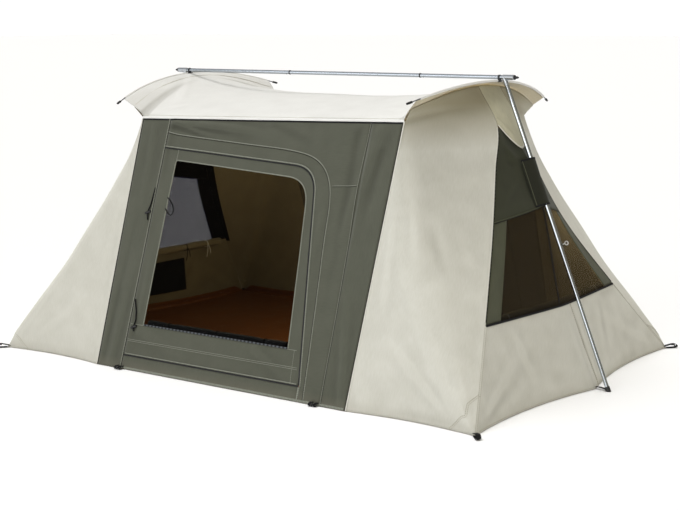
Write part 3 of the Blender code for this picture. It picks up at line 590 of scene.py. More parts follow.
def seam_point(height):
    """The seam between a corner panel and the end wall, at a height."""
    x, y = along(SEAM + ((SEAM_TOP.z, SEAM_TOP.x, SEAM_TOP.y),), height)
    return Vector((x, y, height))


def bend(before, corner, after, t):
    """The round curve that cuts a corner between two points, t from 0 to 1."""
    return (1 - t) ** 2 * before + 2 * t * (1 - t) * corner + t * t * after


def corner_row(share, fold_knots, turn_width):
    """One row of a corner panel, from the dark wall's edge round the fold to the seam."""
    up = min(1.0, share / EAVE_SHARE_UP)
    slope = max(HEM_LIFT, up * (WALL_SLOPE - WALL_TOP_GAP))
    fold = on_wall(float(along(fold_knots, slope)[0]), slope)
    edge = on_wall(dark_half(slope), slope)
    arc_start, arc_end = under_roof_edge(-1), under_roof_edge(-SEAM_TOP_SHARE)
    if share > EAVE_SHARE_UP:
        fold = fold.lerp(arc_start, (share - EAVE_SHARE_UP) / (1 - EAVE_SHARE_UP))
    seam = seam_point(max(HEM_LIFT, share * SEAM_TOP.z))
    seam.y = -seam.y

    def round_end(across):
        """A point of the end part, arched under the roof's edge near its top."""
        arc = under_roof_edge(-1 + (1 - SEAM_TOP_SHARE) * across)
        return fold.lerp(seam, across) + share**6 * (arc - arc_start.lerp(arc_end, across))

    half_turn = turn_width * math.sin(math.pi * min(1.0, up * TURN_SPAN + TURN_START)) ** 0.5
    flat_length = max((fold - edge).length, 1e-6)
    end_length = max((seam - fold).length, 1e-6)
    flat_turn = min(half_turn, MOST_OF_FLAT * flat_length)
    end_turn = min(half_turn, MOST_OF_END * end_length)
    before = fold.lerp(edge, flat_turn / flat_length)
    after = round_end(end_turn / end_length)
    row = []
    for k in range(FLAT_STEPS + END_STEPS + 1):
        if k < FLAT_STEPS:
            point, gap = fold.lerp(edge, 1 - k / FLAT_STEPS), -flat_length * (1 - k / FLAT_STEPS)
        else:
            across = (k - FLAT_STEPS) / END_STEPS
            point, gap = round_end(across), end_length * across
        if -flat_turn < gap < end_turn:
            t = 0.5 + 0.5 * gap / (flat_turn if gap < 0 else end_turn)
            point = bend(before, fold, after, t)
        row.append(tuple(point))
    row = np.array(row)
    # The hem is hollow between the dark wall and the stake
    from_dark = np.linspace(0, 1, FLAT_STEPS + 1)
    near_ground = (1 - min(1, slope / HEM_HOLLOW_HEIGHT)) ** 2
    row[: FLAT_STEPS + 1, 1] += HEM_HOLLOW * np.sin(math.pi * from_dark) * near_ground
    return row


def cotton_duck(name, colour, shade, dust="#8D8674", sheen=0.12, painted_roof_shade=None):
    """Tightly woven cotton duck: matt, faintly mottled, with slubs along the yarns.

    The yarns are 0.6 mm apart and are drawn at 2.4 mm, so that some of the weave shows."""
    material, tree, shader = new_material(name)
    flat = add_node(tree, "Attribute", {"attribute_name": "cut"}).outputs["Vector"]
    place = add_node(tree, "TexCoord").outputs["Object"]
    # Mottling of the proofing, about 180 mm across, and slubs of 8 by 60 mm
    mottle = add_node(tree, "TexNoise", Vector=place, Scale=5.5, Detail=5.0, Roughness=0.55).outputs["Fac"]
    long_way = add_node(tree, "Mapping", Vector=flat, Scale=(125.0, 17.0, 1.0)).outputs[0]
    slub = add_node(tree, "TexNoise", Vector=long_way, Scale=1.0, Detail=3.0).outputs["Fac"]
    base = add_node(tree, "Mix", COLOURS, Factor=mottle, _6=linear(colour), _7=linear(shade)).outputs[2]
    # Painted shade: the valleys of the creases are drawn a little darker
    proud = add_node(tree, "SeparateXYZ", _0=flat).outputs["Z"]
    valley = add_node(tree, "MapRange", Value=proud, From_Min=0.0006, From_Max=-0.0035, To_Max=CREASE_SHADE)
    crease_shade_colour = linear("#A8A69E")
    base = add_node(tree, "Mix", MULTIPLIED, Factor=valley.outputs[0], _6=base, _7=crease_shade_colour).outputs[2]
    base = add_node(tree, "Mix", OVERLAID, Factor=0.14, _6=base, _7=slub).outputs[2]
    # A little dust in the lowest 80 mm of the walls
    height = add_node(tree, "SeparateXYZ", _0=place).outputs["Z"]
    low = add_node(tree, "MapRange", Value=height, From_Max=0.08, To_Min=0.22, To_Max=0.0)
    base = add_node(tree, "Mix", COLOURS, Factor=low.outputs[0], _6=base, _7=linear(dust)).outputs[2]
    if painted_roof_shade:
        # Painted shade: the cloth is drawn darker and yellower where it hangs under the roof
        high = add_node(tree, "MapRange", Value=height, From_Min=1.66, From_Max=1.97, To_Max=0.9)
        roof_shade_colour = linear(painted_roof_shade)
        base = add_node(tree, "Mix", COLOURS, Factor=high.outputs[0], _6=base, _7=roof_shade_colour).outputs[2]
    threads = {"Vector": flat, "Scale": 131.0, "Distortion": 0.6}
    warp = add_node(tree, "TexWave", {"bands_direction": "X"}, **threads).outputs["Fac"]
    weft = add_node(tree, "TexWave", {"bands_direction": "Y"}, **threads).outputs["Fac"]
    weave = add_node(tree, "Math", {"operation": "MAXIMUM"}, _0=warp, _1=weft).outputs[0]
    yarn = add_node(tree, "Math", {"operation": "MULTIPLY_ADD"}, _0=slub, _1=1.5, _2=weave).outputs[0]
    bump = add_node(tree, "Bump", Height=yarn, Strength=0.35, Distance=0.0006).outputs[0]
    plug(tree, shader, Base_Color=base, Normal=bump, Roughness=0.93, Specular_IOR_Level=0.25)
    plug(tree, shader, Sheen_Weight=sheen, Sheen_Roughness=0.6)
    return material


def woven_tape(name, colour, gap, pitch, roughness=0.9):
    """Tape, binding or thread: ribs or stitches across it, with a second colour between them."""
    material, tree, shader = new_material(name)
    place = add_node(tree, "Attribute", {"attribute_name": "cut"}).outputs["Vector"]
    pattern = {"Vector": place, "Scale": WAVE_PERIOD / pitch, "Distortion": 0.3}
    ribs = add_node(tree, "TexWave", {"bands_direction": "Y"}, **pattern).outputs["Fac"]
    wear = add_node(tree, "TexNoise", Vector=place, Scale=30.0, Detail=3.0).outputs["Fac"]
    mixed = add_node(tree, "Mix", COLOURS, Factor=ribs, _6=linear(gap), _7=linear(colour)).outputs[2]
    worn = add_node(tree, "Mix", OVERLAID, Factor=0.2, _6=mixed, _7=wear).outputs[2]
    bump = add_node(tree, "Bump", Height=ribs, Strength=0.5, Distance=0.0006).outputs[0]
    plug(tree, shader, Base_Color=worn, Normal=bump, Roughness=roughness, Specular_IOR_Level=0.3)
    return material


def lengths_along(path):
    """How far along a path each of its points is."""
    return np.concatenate([[0], np.cumsum(np.linalg.norm(np.diff(path, axis=0), axis=1))])


def add_bands(name, runs, material, flip=(1, 1, 1), body="shell"):
    """Narrow raised strips such as seams, hems and zips, as one piece.

    A run is (points, facing, width, height, shift across). flip mirrors the whole."""
    points, faces, places = [], [], []
    count = len(BAND_PROFILE)
    for path, facing, width, height, shift in runs:
        path = np.array([tuple(p) for p in path], float)
        facing = np.broadcast_to(np.array(facing, float), path.shape)
        way = np.gradient(path, axis=0)
        way /= np.linalg.norm(way, axis=1, keepdims=True)
        across = np.cross(way, facing)
        across /= np.linalg.norm(across, axis=1, keepdims=True)
        rise = np.cross(across, way)
        lengths = lengths_along(path)
        first = len(points)
        for i in range(len(path)):
            for aside, up in BAND_PROFILE:
                points.append(path[i] + (aside * width + shift) * across[i] + up * height * rise[i])
                places.append((aside * width, lengths[i], 0))
        for i in range(first, first + (len(path) - 1) * count, count):
            for k in range(count):
                n = (k + 1) % count
                faces.append((i + k, i + n, i + count + n, i + count + k))
        faces.append(tuple(range(first, first + count))[::-1])
        faces.append(tuple(range(len(points) - count, len(points))))
    if flip[0] * flip[1] * flip[2] < 0:
        faces = [face[::-1] for face in faces]
    piece = add_mesh(name, np.array(points) * np.array(flip), faces, [material], places, sharp=50)
    dress(piece, body)


def resample(path, count):
    """The same path with its points evenly apart."""
    path = np.array([tuple(p) for p in path], float)
    lengths = lengths_along(path)
    at = np.linspace(0, lengths[-1], count)
    return np.stack([np.interp(at, lengths, path[:, i]) for i in range(path.shape[1])], axis=1)


def trace(grid, spots, count):
    """Points and normals along a path of (row, column) shares on a cloth's grid."""
    rows, columns = grid.shape[:2]
    spots = resample(spots, count) * np.array([rows - 1, columns - 1])
    low = np.minimum(spots.astype(int), [rows - 2, columns - 2])
    v, u = (spots - low).T[..., None]
    i, j = low.T
    both = np.concatenate([grid, out_normals(grid)], axis=2)
    under = both[i, j] * (1 - u) + both[i, j + 1] * u
    over = both[i + 1, j] * (1 - u) + both[i + 1, j + 1] * u
    found = under * (1 - v) + over * v
    return found[:, :3], found[:, 3:]


# Undyed duck, warm white outside, and the grey-green of the walls; their inner faces are painted a dim warm
# brown, which stands for the shade inside and the daylight through the canvas
cream_duck = cotton_duck("cream_cotton_duck", "#DAD9D0", "#CECDC2", painted_roof_shade="#938B70")
cream_inside = cotton_duck("cream_duck_inner_face", "#8E846A", "#7C725A")
sage_duck = cotton_duck("sage_cotton_duck", "#585A4E", "#515347")
sage_inside = cotton_duck("sage_duck_inner_face", "#6C6350", "#5E5645")
# Ribbed tape, and stitches 3 mm long, drawn at 14 mm so that a seam looks sewn from afar
cream_tape = woven_tape("cream_seam_tape", "#DDDBD3", "#D2D0C6", 0.006)
cream_stitch = woven_tape("cream_sewing_thread", "#A5A294", "#C9C6BA", 0.014)
# The black thread lines are partly stitches and partly painted shadow in the step of each seam
black_stitch = woven_tape("black_thread_and_painted_seam_shadow", "#11110E", "#3A3A30", 0.014)
# The overcast edge of a sage seam shows as a dark line, broken about every 30 mm
black_overcast = woven_tape("black_overcast_seam", "#080806", "#3C3D33", 0.030)
# Painted shade: a flat dead black sheet for the inside
black_shade_sheet = cotton_duck("painted_shade_black_sheet", "#050505", "#040404", dust="#050505", sheen=0.0)

ups = np.linspace(0, EAVE_SHARE_UP, WALL_ROWS).tolist()
ups += np.linspace(EAVE_SHARE_UP, 1, EAVE_ROWS + 1)[1:].tolist()
slack_grid = np.array([corner_row(v, SLACK_FOLD, SLACK_TURN) for v in ups])
tight_grid = np.array([corner_row(v, TIGHT_FOLD, TIGHT_TURN) for v in ups])
rises = np.linspace(HEM_LIFT, WALL_SLOPE - WALL_TOP_GAP, 60).tolist()
edge = [on_wall(dark_half(s), s) for s in rises]
for place, side, back in CORNERS:
    flip = np.array([side, back, 1])
    slack, corner_grid = (1.0, slack_grid) if place == "front_right" else (0.25, tight_grid)
    folds = [(start, end, width, rise * slack) for start, end, width, rise in CORNER_FOLDS]
    grid = relieve(corner_grid, 0.003 + 0.002 * slack, 0.42, 11 + 2 * side + back, folds, margin=0.05)
    add_sheet(
        f"cream_corner_{place}",
        grid * flip,
        (cream_duck, cream_inside),
        "cream_canvas",
        f"corner_{place}",
        (1.45, 2.15),
        2.0,
        keep=lambda i, j: i < WALL_ROWS - 1 or j >= FLAT_STEPS,
    )
    # Seams: to the dark wall, to the end wall and round the patch that takes the stake's pull
    line, facing = trace(grid, [(0.002, 1), (1, 1)], 80)
    low = line[:, 2] < WINDOW_SILL
    dark = (line[:, 2] > WINDOW_SILL - 0.01) & (line[:, 2] < HOOD_CORNER_HEIGHT)
    patch_line = trace(grid, [(0.004, 0.345), (0.05, 0.41), (0.085, 0.62), (0.10, 0.99)], 40)
    tapes = [
        (edge, OUT_OF_WALL, SEAM_WIDTH, SEAM_HEIGHT, 0.009),
        (line[dark], facing[dark], SEAM_WIDTH, 0.0015, -0.008),
    ]
    stitching = [
        (line[low], facing[low], 0.0035, 0.0018, -0.004),
        (line[low], facing[low], 0.0030, 0.0018, 0.008),
        (*patch_line, 0.005, 0.0016, 0.0),
        (*patch_line, 0.003, 0.0012, 0.012),
    ]
    dark_seams = [
        (edge, OUT_OF_WALL, EDGE_WIDTH, SEAM_HEIGHT, 0.001),
        (line[dark], facing[dark], EDGE_WIDTH, SEAM_HEIGHT, 0.0),
    ]
    add_bands(f"corner_tape_{place}", tapes, cream_tape, flip)
    add_bands(f"corner_stitching_{place}", stitching, cream_stitch, flip)
    add_bands(f"corner_dark_seam_{place}", dark_seams, black_overcast, flip)
    # Painted shade: a black sheet covers the seam beside the window on the inside
    seam_heights = corner_grid[:, -1, 2]
    rows = (seam_heights > WINDOW_SILL - 0.04) & (seam_heights < HOOD_CORNER_HEIGHT)
    backing = (grid - FACING_IN * out_normals(grid))[rows][:, -FACING_COLUMNS:] * flip
    cloths = (black_shade_sheet, black_shade_sheet)
    name = f"window_facing_{place}"
    add_sheet(name, backing, cloths, "sage_canvas", None, (0.09, 1.30), thickness=THIN_CLOTH)

# Long walls
# Sage duck between the corner panels, four pieces a wall sewn edge to edge: a strip beside the
# door's hinge, a surround over and beside the door, a sill under it and a strip on the right.
# Half of the door's zip is sewn to them, and a black band along the eave is painted shadow under the roof's
# edge.

WALLS = (("front", 1), ("back", -1))
SEAM_GAP = 0.002
THREAD_WIDTH = 0.0050
DOOR_HINGE_X = -0.900
DOOR_CORNERS = ((-0.897, 0.107), (0.733, 0.107), (0.531, 1.577), (-0.897, 1.682))
OPENING_CORNERS = ((-0.761, 0.345), (0.584, 0.345), (0.489, 1.495), (-0.761, 1.588))
CORNER_ROUND = 0.180
ROUND_STEPS = 12
ZIP_GAP = 0.004
SURROUND_SEAM_X = 0.930
# Slack of the wall: the height and size of its waves, and finer ones 2.9 times smaller
WALL_SLACK = 0.0060
WALL_SLACK_SIZE = 0.45
FINE_SLACK = 0.0020
FINE_SLACK_TIMES = 2.9
# It comes in over these distances from a seam, the hinge, the zip, the foot and the top
SEAM_STIFF, HINGE_STIFF, ZIP_STIFF, FOOT_STIFF, TOP_STIFF = 0.07, 0.05, 0.05, 0.05, 0.06
ZIP_FLAT = 0.02
FOLD_PAST_END = 1.2
# Shallow folds of the wall: start x, slope, end x, slope, width and height
WALL_FOLDS = (
    (-0.88, 1.885, -0.50, 1.79, 0.018, 0.013),
    (-0.88, 1.85, -0.40, 1.75, 0.016, -0.011),
    (-0.86, 1.89, -0.05, 1.84, 0.024, 0.010),
    (-0.84, 1.86, -0.20, 1.79, 0.014, -0.008),
    (-1.02, 0.02, -0.98, 0.75, 0.030, 0.006),
    (-1.10, 0.03, -1.04, 1.20, 0.022, -0.004),
    (-1.05, 1.85, -1.02, 1.20, 0.024, 0.004),
    (1.10, 0.05, 0.98, 0.80, 0.030, 0.008),
    (1.02, 1.86, 0.80, 0.95, 0.045, 0.008),
    (0.83, 1.82, 0.83, 0.60, 0.036, -0.005),
    (1.05, 1.70, 0.98, 1.10, 0.034, -0.004),
    (-0.60, 1.87, 0.10, 1.80, 0.025, 0.007),
    (0.10, 1.87, 0.55, 1.72, 0.030, -0.004),
    (-0.80, 0.30, -0.30, 0.16, 0.020, 0.006),
    (0.30, 0.30, 0.62, 0.14, 0.020, 0.007),
    (-0.84, 0.40, -0.82, 0.90, 0.016, 0.004),
    (0.66, 1.30, 0.64, 0.80, 0.016, 0.004),
)
# The flap over the zip is sewn down about 90 mm outside it, along this line of x and slope
FLAP_SEAM = (
    (-0.897, 1.797),
    (-0.774, 1.775),
    (-0.026, 1.716),
    (0.28, 1.694),
    (0.50, 1.655),
    (0.63, 1.56),
    (0.70, 1.40),
    (0.711, 1.10),
    (0.735, 0.80),
    (0.757, 0.50),
    (0.785, 0.02),
)


def wall_relief(x, slope):
    """How far the slack cloth of a long wall stands proud of its plane."""
    spot = Vector((x / WALL_SLACK_SIZE, slope / WALL_SLACK_SIZE, 3.7))
    lift = WALL_SLACK * noise.noise(spot) + FINE_SLACK * noise.noise(spot * FINE_SLACK_TIMES)
    for x0, s0, x1, s1, width, rise in WALL_FOLDS:
        run_x, run_s = x1 - x0, s1 - s0
        share = ((x - x0) * run_x + (slope - s0) * run_s) / (run_x**2 + run_s**2)
        near = min(1, max(0, share))
        gap = math.hypot(x - x0 - near * run_x, slope - s0 - near * run_s)
        lift += rise * math.exp(-((gap / width) ** 2)) * float(ease(FOLD_PAST_END - share))
    # The seams, the door's hinge and its zip are stiff and stay straight
    (zip_foot, low), (zip_top, high) = DOOR_CORNERS[1:3]
    zip_x = zip_foot + (zip_top - zip_foot) * (slope - low) / (high - low)
    off_zip = ease((abs(x - zip_x) - ZIP_FLAT) / ZIP_STIFF)
    off_edge = ease((dark_half(slope) - abs(x)) / SEAM_STIFF)
    off_hinge = ease(abs(x - DOOR_HINGE_X) / HINGE_STIFF)
    lift *= float(off_edge * off_hinge * off_zip)
    return lift * float(ease(slope / FOOT_STIFF) * ease((WALL_SLOPE - slope) / TOP_STIFF))


def rounded(corners, grow=0.0):
    """Four corners in the wall's plane, the third one rounded, pushed out by grow."""
    (left, low), (right_low, _), (right_top, top), (_, left_top) = corners
    corner = Vector((right_top + grow, top + grow))
    down = Vector((right_low - right_top, low - top)).normalized()
    across = Vector((left - right_top, left_top - top)).normalized()
    before = corner + CORNER_ROUND * down
    after = corner + CORNER_ROUND * across
    foot_x = right_low + grow * (1 + (right_low - right_top) / (top - low))
    points = [(left - grow, low - grow), (foot_x, low - grow)]
    points += [tuple(bend(before, corner, after, k / ROUND_STEPS)) for k in range(ROUND_STEPS + 1)]
    return points + [(left - grow, left_top + grow)]


def patch(bottom, top, left, right, columns, rows):
    """A grid that fills four paths: bottom and top run rightwards, left and right upwards."""
    bottom, top = resample(bottom, columns), resample(top, columns)
    left, right = resample(left, rows), resample(right, rows)
    u = np.linspace(0, 1, columns)[None, :, None]
    v = np.linspace(0, 1, rows)[:, None, None]
    ruled = (1 - v) * bottom[None] + v * top[None] + (1 - u) * left[:, None] + u * right[:, None]
    ends = (1 - u) * (1 - v) * bottom[0] + u * (1 - v) * bottom[-1]
    return ruled - ends - (1 - u) * v * top[0] - u * v * top[-1]


def panel(low_left, low_right, top_left, top_right, columns, rows):
    """A grid between four corners."""
    left, right = [low_left, top_left], [low_right, top_right]
    return patch([low_left, low_right], [top_left, top_right], left, right, columns, rows)


def between(inner, outer, steps):
    """A grid of rings from one path to another of as many points."""
    shares = np.linspace(0, 1, steps)[:, None, None]
    return inner[None] * (1 - shares) + outer[None] * shares


def soften(path):
    """Cuts the corners of a path twice, so that it bends smoothly."""
    path = np.array(path, float)
    for _ in range(2):
        near = path[:-1] * 0.75 + path[1:] * 0.25
        far = path[:-1] * 0.25 + path[1:] * 0.75
        cut = np.stack([near, far], axis=1).reshape(-1, path.shape[1])
        path = np.concatenate([path[:1], cut, path[-1:]])
    return path


def wall_grid(flat, side, depth=0.0):
    """A grid of x and slope laid on the slack cloth of a wall."""
    grid = [[tuple(on_wall(x, s, depth - wall_relief(x, s), side)) for x, s in row] for row in flat.tolist()]
    return np.array(grid)


def wall_run(path, width, height, shift=0.0):
    """A strip laid on the slack cloth of the front wall, along a path of x and slope."""
    length = lengths_along(np.array(path, float))[-1]
    spots = resample(path, max(3, int(length / 0.02)))
    line = [on_wall(x, s, -wall_relief(x, s)) for x, s in spots.tolist()]
    return line, OUT_OF_WALL, width, height, shift


# The pale folded edge of a sage seam, partly worn and partly a painted highlight where the fold catches the
# light, the satin zip and the dull black of woven webbing
sage_edge = woven_tape("sage_seam_edge", "#8E9186", "#74766B", 0.012)
zip_coil = woven_tape("black_nylon_zip_coil", "#0D0D0F", "#26262A", 0.004, roughness=0.5)
black_webbing = woven_tape("black_polyester_webbing", "#08080A", "#121215", 0.005, roughness=0.8)
sage = (sage_duck, sage_inside)

door_edge = rounded(DOOR_CORNERS, grow=ZIP_GAP)
(foot_x, foot_slope), (round_x, round_slope) = door_edge[1], door_edge[2]
splay = (foot_x - round_x) / (round_slope - foot_slope)
jamb = [(foot_x + splay * (foot_slope - HEM_LIFT), HEM_LIFT)] + door_edge[2:-1]
jamb.append((DOOR_HINGE_X, door_edge[-1][1]))
seam_foot, seam_top = (SURROUND_SEAM_X, HEM_LIFT), (SURROUND_SEAM_X, WALL_SLOPE)
hinge_foot, hinge_top = (DOOR_HINGE_X, HEM_LIFT), (DOOR_HINGE_X, WALL_SLOPE)
right_foot, right_top = (DARK_HALF_BOTTOM, HEM_LIFT), (DARK_HALF_TOP, WALL_SLOPE)
left_foot, left_top = (-DARK_HALF_BOTTOM, HEM_LIFT), (-DARK_HALF_TOP, WALL_SLOPE)
sill_foot, sill_top = (foot_x - SEAM_GAP, HEM_LIFT), (foot_x - SEAM_GAP, foot_slope)
round_wall = np.concatenate([resample([seam_foot, seam_top], 78)[:-1], resample([seam_top, hinge_top], 64)])
# Each panel's grid, the size it was cut to and its area
wall_panels = {
    "left": (panel(left_foot, hinge_foot, left_top, hinge_top, 14, 96), (0.31, 1.95), 0.52),
    "right": (panel(seam_foot, right_foot, seam_top, right_top, 12, 96), (0.28, 1.95), 0.45),
    "surround": (between(resample(jamb, 141), round_wall, 18), (1.90, 1.95), 1.15),
    "sill": (panel(hinge_foot, sill_foot, (DOOR_HINGE_X, foot_slope), sill_top, 84, 8), (1.67, 0.13), 0.19),
}
tape_slope, near_top = WALL_SLOPE - 0.013, WALL_SLOPE - 0.01
hinge = [hinge_foot, (DOOR_HINGE_X, near_top)]
flap_seam = soften(FLAP_SEAM)
right_seam = soften([(0.934, HEM_LIFT), (0.930, 0.9), (0.906, 1.45), (0.925, near_top)])
box_top = [(0.700, 1.460), (0.902, 1.473)]
zip_line = rounded(DOOR_CORNERS, grow=0.002)
raised = [
    wall_run(hinge, 0.009, 0.0035, -0.007),
    wall_run(flap_seam, 0.008, 0.0032, -0.007),
    wall_run(zip_line[1:], 0.009, 0.0034, 0.011),
    wall_run(right_seam, 0.0045, 0.0018, 0.0),
    wall_run(box_top, 0.005, 0.0018, -0.004),
    wall_run([(foot_x - 0.001, 0.004), (foot_x - 0.001, foot_slope)], 0.014, 0.0030),
    wall_run([(DOOR_HINGE_X, 0.012), (DARK_HALF_BOTTOM - 0.01, 0.012)], 0.016, 0.0014),
]
shadowed = [
    wall_run(hinge, THREAD_WIDTH, 0.0018, 0.0005),
    wall_run(flap_seam, THREAD_WIDTH, 0.0018),
    wall_run(right_seam, 0.003, 0.0014, 0.006),
    wall_run(box_top, 0.003, 0.0014, 0.001),
]
zipped = [wall_run(zip_line, 0.006, 0.0022)]
# A black band along the eave is painted shadow under the roof's edge
eave_shadow_band = [wall_run([(-DARK_HALF_TOP, tape_slope), (DARK_HALF_TOP, tape_slope)], 0.016, 0.0030)]
for word, side in WALLS:
    flip = (side, side, 1)
    for part, (flat_grid, size, area) in wall_panels.items():
        grid = wall_grid(flat_grid, side)
        add_sheet(f"sage_{word}_{part}", grid, sage, "sage_canvas", f"{word}_wall_{part}", size, area)
    add_bands(f"{word}_wall_raised_seams", raised, sage_edge, flip)
    add_bands(f"{word}_wall_stitching", shadowed, black_stitch, flip)
    add_bands(f"{word}_wall_zip_half", zipped, zip_coil, flip)
    add_bands(f"{word}_eave_painted_shadow", eave_shadow_band, black_webbing, flip)

# Doors
# A bordered panel of sage duck round a D-shaped opening, sewn in along its left edge, which
# is its hinge, and zipped round the rest. The opening is bound, and holds netting in the
# front door, with its cover rolled at the foot. In the back door the canvas cover is closed.

SCREEN_DEPTH = 0.002
FLAP_ROLL_SLOPE = 0.366
FLAP_ROLL_RADIUS = 0.030
ROLL_CORE = 0.012
ROLL_TURNS = 2.6
DOOR_ROLL_TIES = (0.16, 0.5, 0.84)
DOOR_TIE_RADIUS = 0.0235
# How much a tie squeezes a roll, over what share of its length, and the cloth's slack
TIE_SQUEEZE, TIE_REACH, ROLL_SLACK = 0.24, 0.035, 0.05


def insect_mesh(name, colour, cover, gleam=0.0):
    """Fine black polyester netting, 0.5 mm holes: a soft dark veil over what is behind it.

    The gleam is the light that its yarns catch when it is seen nearly edge on."""
    material, tree, shader = new_material(name)
    flat = add_node(tree, "Attribute", {"attribute_name": "cut"}).outputs["Vector"]
    # Cells of 0.5 mm are drawn at 3 mm, and only in the bump and the shade of the yarn
    edges = {"feature": "DISTANCE_TO_EDGE"}
    cells = add_node(tree, "TexVoronoi", edges, Vector=flat, Scale=330.0).outputs[0]
    shade = add_node(tree, "Mix", COLOURS, Factor=cells, _6=linear(colour), _7=linear("#060606")).outputs[2]
    bump = add_node(tree, "Bump", Height=cells, Strength=0.2, Distance=0.0004).outputs[0]
    plug(tree, shader, Base_Color=shade, Normal=bump, Roughness=0.9, Specular_IOR_Level=0.0, Alpha=cover)
    plug(tree, shader, Sheen_Weight=gleam, Sheen_Roughness=0.35, Sheen_Tint=linear("#BBA578"))
    return material


# Thin netting that the room behind it shows through, and its zip with dashes of bright stops
door_mesh = insect_mesh("polyester_netting_door", "#080808", 0.35)
dashed_zip = woven_tape("netting_zip_with_stops", "#08080A", "#5C6166", 0.034, roughness=0.6)


def rolled(radius, centre_line, sideways, outward, pinch):
    """Grid of a rolled cloth: a spiral from the core out, swept along a line.

    pinch holds the shares of the line where a tie squeezes the roll."""
    count = len(centre_line)
    angles = np.linspace(0, ROLL_TURNS * 2 * math.pi, int(ROLL_TURNS * 20) + 1)
    grid = np.zeros((count, len(angles), 3))
    for i, middle in enumerate(centre_line):
        share = i / (count - 1)
        squeeze = 1 - sum(TIE_SQUEEZE * math.exp(-(((share - at) / TIE_REACH) ** 2)) for at in pinch)
        sag = 1 + ROLL_SLACK * noise.noise(Vector((share * 9, 1.3, 0)))
        for j, angle in enumerate(angles.tolist()):
            out = (ROLL_CORE + (radius - ROLL_CORE) * angle / angles[-1]) * squeeze * sag
            offset = math.cos(angle) * sideways + math.sin(angle) * outward
            grid[i, j] = tuple(middle + float(out) * offset)
    return grid


def tie_round(middle, radius, sideways, outward, width):
    """A tie round a roll, as a strip that closes on itself."""
    turn = np.linspace(0, 2 * math.pi, 29)[:, None]
    away = np.cos(turn) * np.array(sideways) + np.sin(turn) * np.array(outward)
    return np.array(middle) + radius * away, away, width, 0.0016, 0.0


def door_loop(corners):
    """The door's outline or its opening, with the same number of points on each side."""
    loop = rounded(corners)
    parts = [
        resample(loop[0:2], 61)[:-1],
        resample(loop[1:3], 51)[:-1],
        np.array(loop[2:-2]),
        resample(loop[-2:], 41)[:-1],
        resample([loop[-1], loop[0]], 61)[:-1],
    ]
    return np.concatenate(parts)


border = between(door_loop(OPENING_CORNERS), door_loop(DOOR_CORNERS), 10)
# The sheet that fills the opening reaches a little under its binding
under = rounded(OPENING_CORNERS, grow=0.006)
mid_round = 2 + (len(under) - 3) // 2
fill = patch(under[:2], under[mid_round:][::-1], [under[0], under[-1]], under[1 : mid_round + 1], 60, 56)
opening = rounded(OPENING_CORNERS)
(left_x, low_s), (right_x, _), *_, (_, top_s) = opening
stitch_s = low_s - 0.004
# The binding of the opening, and the seams of the panel: path, width, height and shift
raised = [
    wall_run(opening[1:] + [(left_x, low_s)], 0.009, 0.0030, 0.004),
    wall_run([(-0.885, 0.119), (0.715, 0.119)], 0.008, 0.0030),
    wall_run([(-0.885, 0.214), (0.695, 0.214)], 0.004, 0.0016),
    wall_run([(-0.885, 0.226), (0.693, 0.226)], 0.004, 0.0016),
    wall_run([(left_x, top_s), (left_x, top_s + 0.085)], 0.005, 0.0020),
    wall_run([(-0.885, stitch_s), (left_x, stitch_s)], 0.005, 0.0020),
    wall_run([(right_x, stitch_s), (right_x + 0.078, stitch_s)], 0.005, 0.0020),
    wall_run([(right_x + 0.060, stitch_s), (right_x + 0.075, 0.119)], 0.004, 0.0018),
]
zipped = [wall_run(rounded(DOOR_CORNERS, grow=-0.0018), 0.003, 0.0022)]
foot_zip = [wall_run([(left_x, low_s + 0.001), (right_x, low_s + 0.001)], 0.012, 0.0030)]
for word, side in WALLS:
    flip, body = (side, side, 1), f"{word}_door"
    grid = wall_grid(border, side)
    size, area = (1.66, 1.60), 0.80
    add_sheet(f"sage_{body}", grid, sage, "sage_canvas", f"{body}_panel", size, area, body, wrap=True)
    grid = wall_grid(fill, side, SCREEN_DEPTH)
    size, area = (1.36, 1.26), 1.52
    if word == "front":
        netting = (door_mesh, door_mesh)
        name = "front_door_netting"
        replaced = "front_door_screen"
        add_sheet(name, grid, netting, "screen_mesh", replaced, size, area, body, thickness=THIN_CLOTH)
    else:
        add_sheet("back_door_cover", grid, sage, "sage_canvas", "back_door_flap", size, area, body)
    add_bands(f"{body}_binding", raised, sage_edge, flip, body)
    add_bands(f"{body}_zip_half", zipped, zip_coil, flip, body)
    add_bands(f"{body}_netting_zip", foot_zip, dashed_zip, flip, body)

# The front door's cover lies rolled inside, along the foot of the netting
# Its colour is painted shade: sage duck drawn nearly black
dark_cover = cotton_duck("sage_duck_rolled_in_shade", "#17181B", "#111215")
start_x = OPENING_CORNERS[0][0] + FLAP_ROLL_RADIUS
end_x = OPENING_CORNERS[1][0] - FLAP_ROLL_RADIUS
roll_depth = 0.003 + FLAP_ROLL_RADIUS + 0.0025
line = [on_wall(x, FLAP_ROLL_SLOPE, roll_depth) for x in np.linspace(start_x, end_x, 60).tolist()]
grid = rolled(FLAP_ROLL_RADIUS - 0.001, line, UP_WALL, OUT_OF_WALL, DOOR_ROLL_TIES)
add_sheet(
    "front_door_rolled_cover",
    grid,
    (dark_cover, dark_cover),
    "sage_canvas",
    "front_door_flap_roll",
    (1.30, 0.36),
    body="front_door",
    held="folded",
)
middles = [line[round(share * (len(line) - 1))] for share in DOOR_ROLL_TIES]
ties = [tie_round(middle, DOOR_TIE_RADIUS, UP_WALL, OUT_OF_WALL, 0.014) for middle in middles]
add_bands("front_door_roll_ties", ties, black_webbing, body="front_door")

# Tie-backs
# Two cords of black braided polyester are sewn in beside each door's hinge, with a nylon
# toggle each, to hold the door when it is rolled back. They hang down along the wall. The
# front door has one more loop on the edge of its opening.

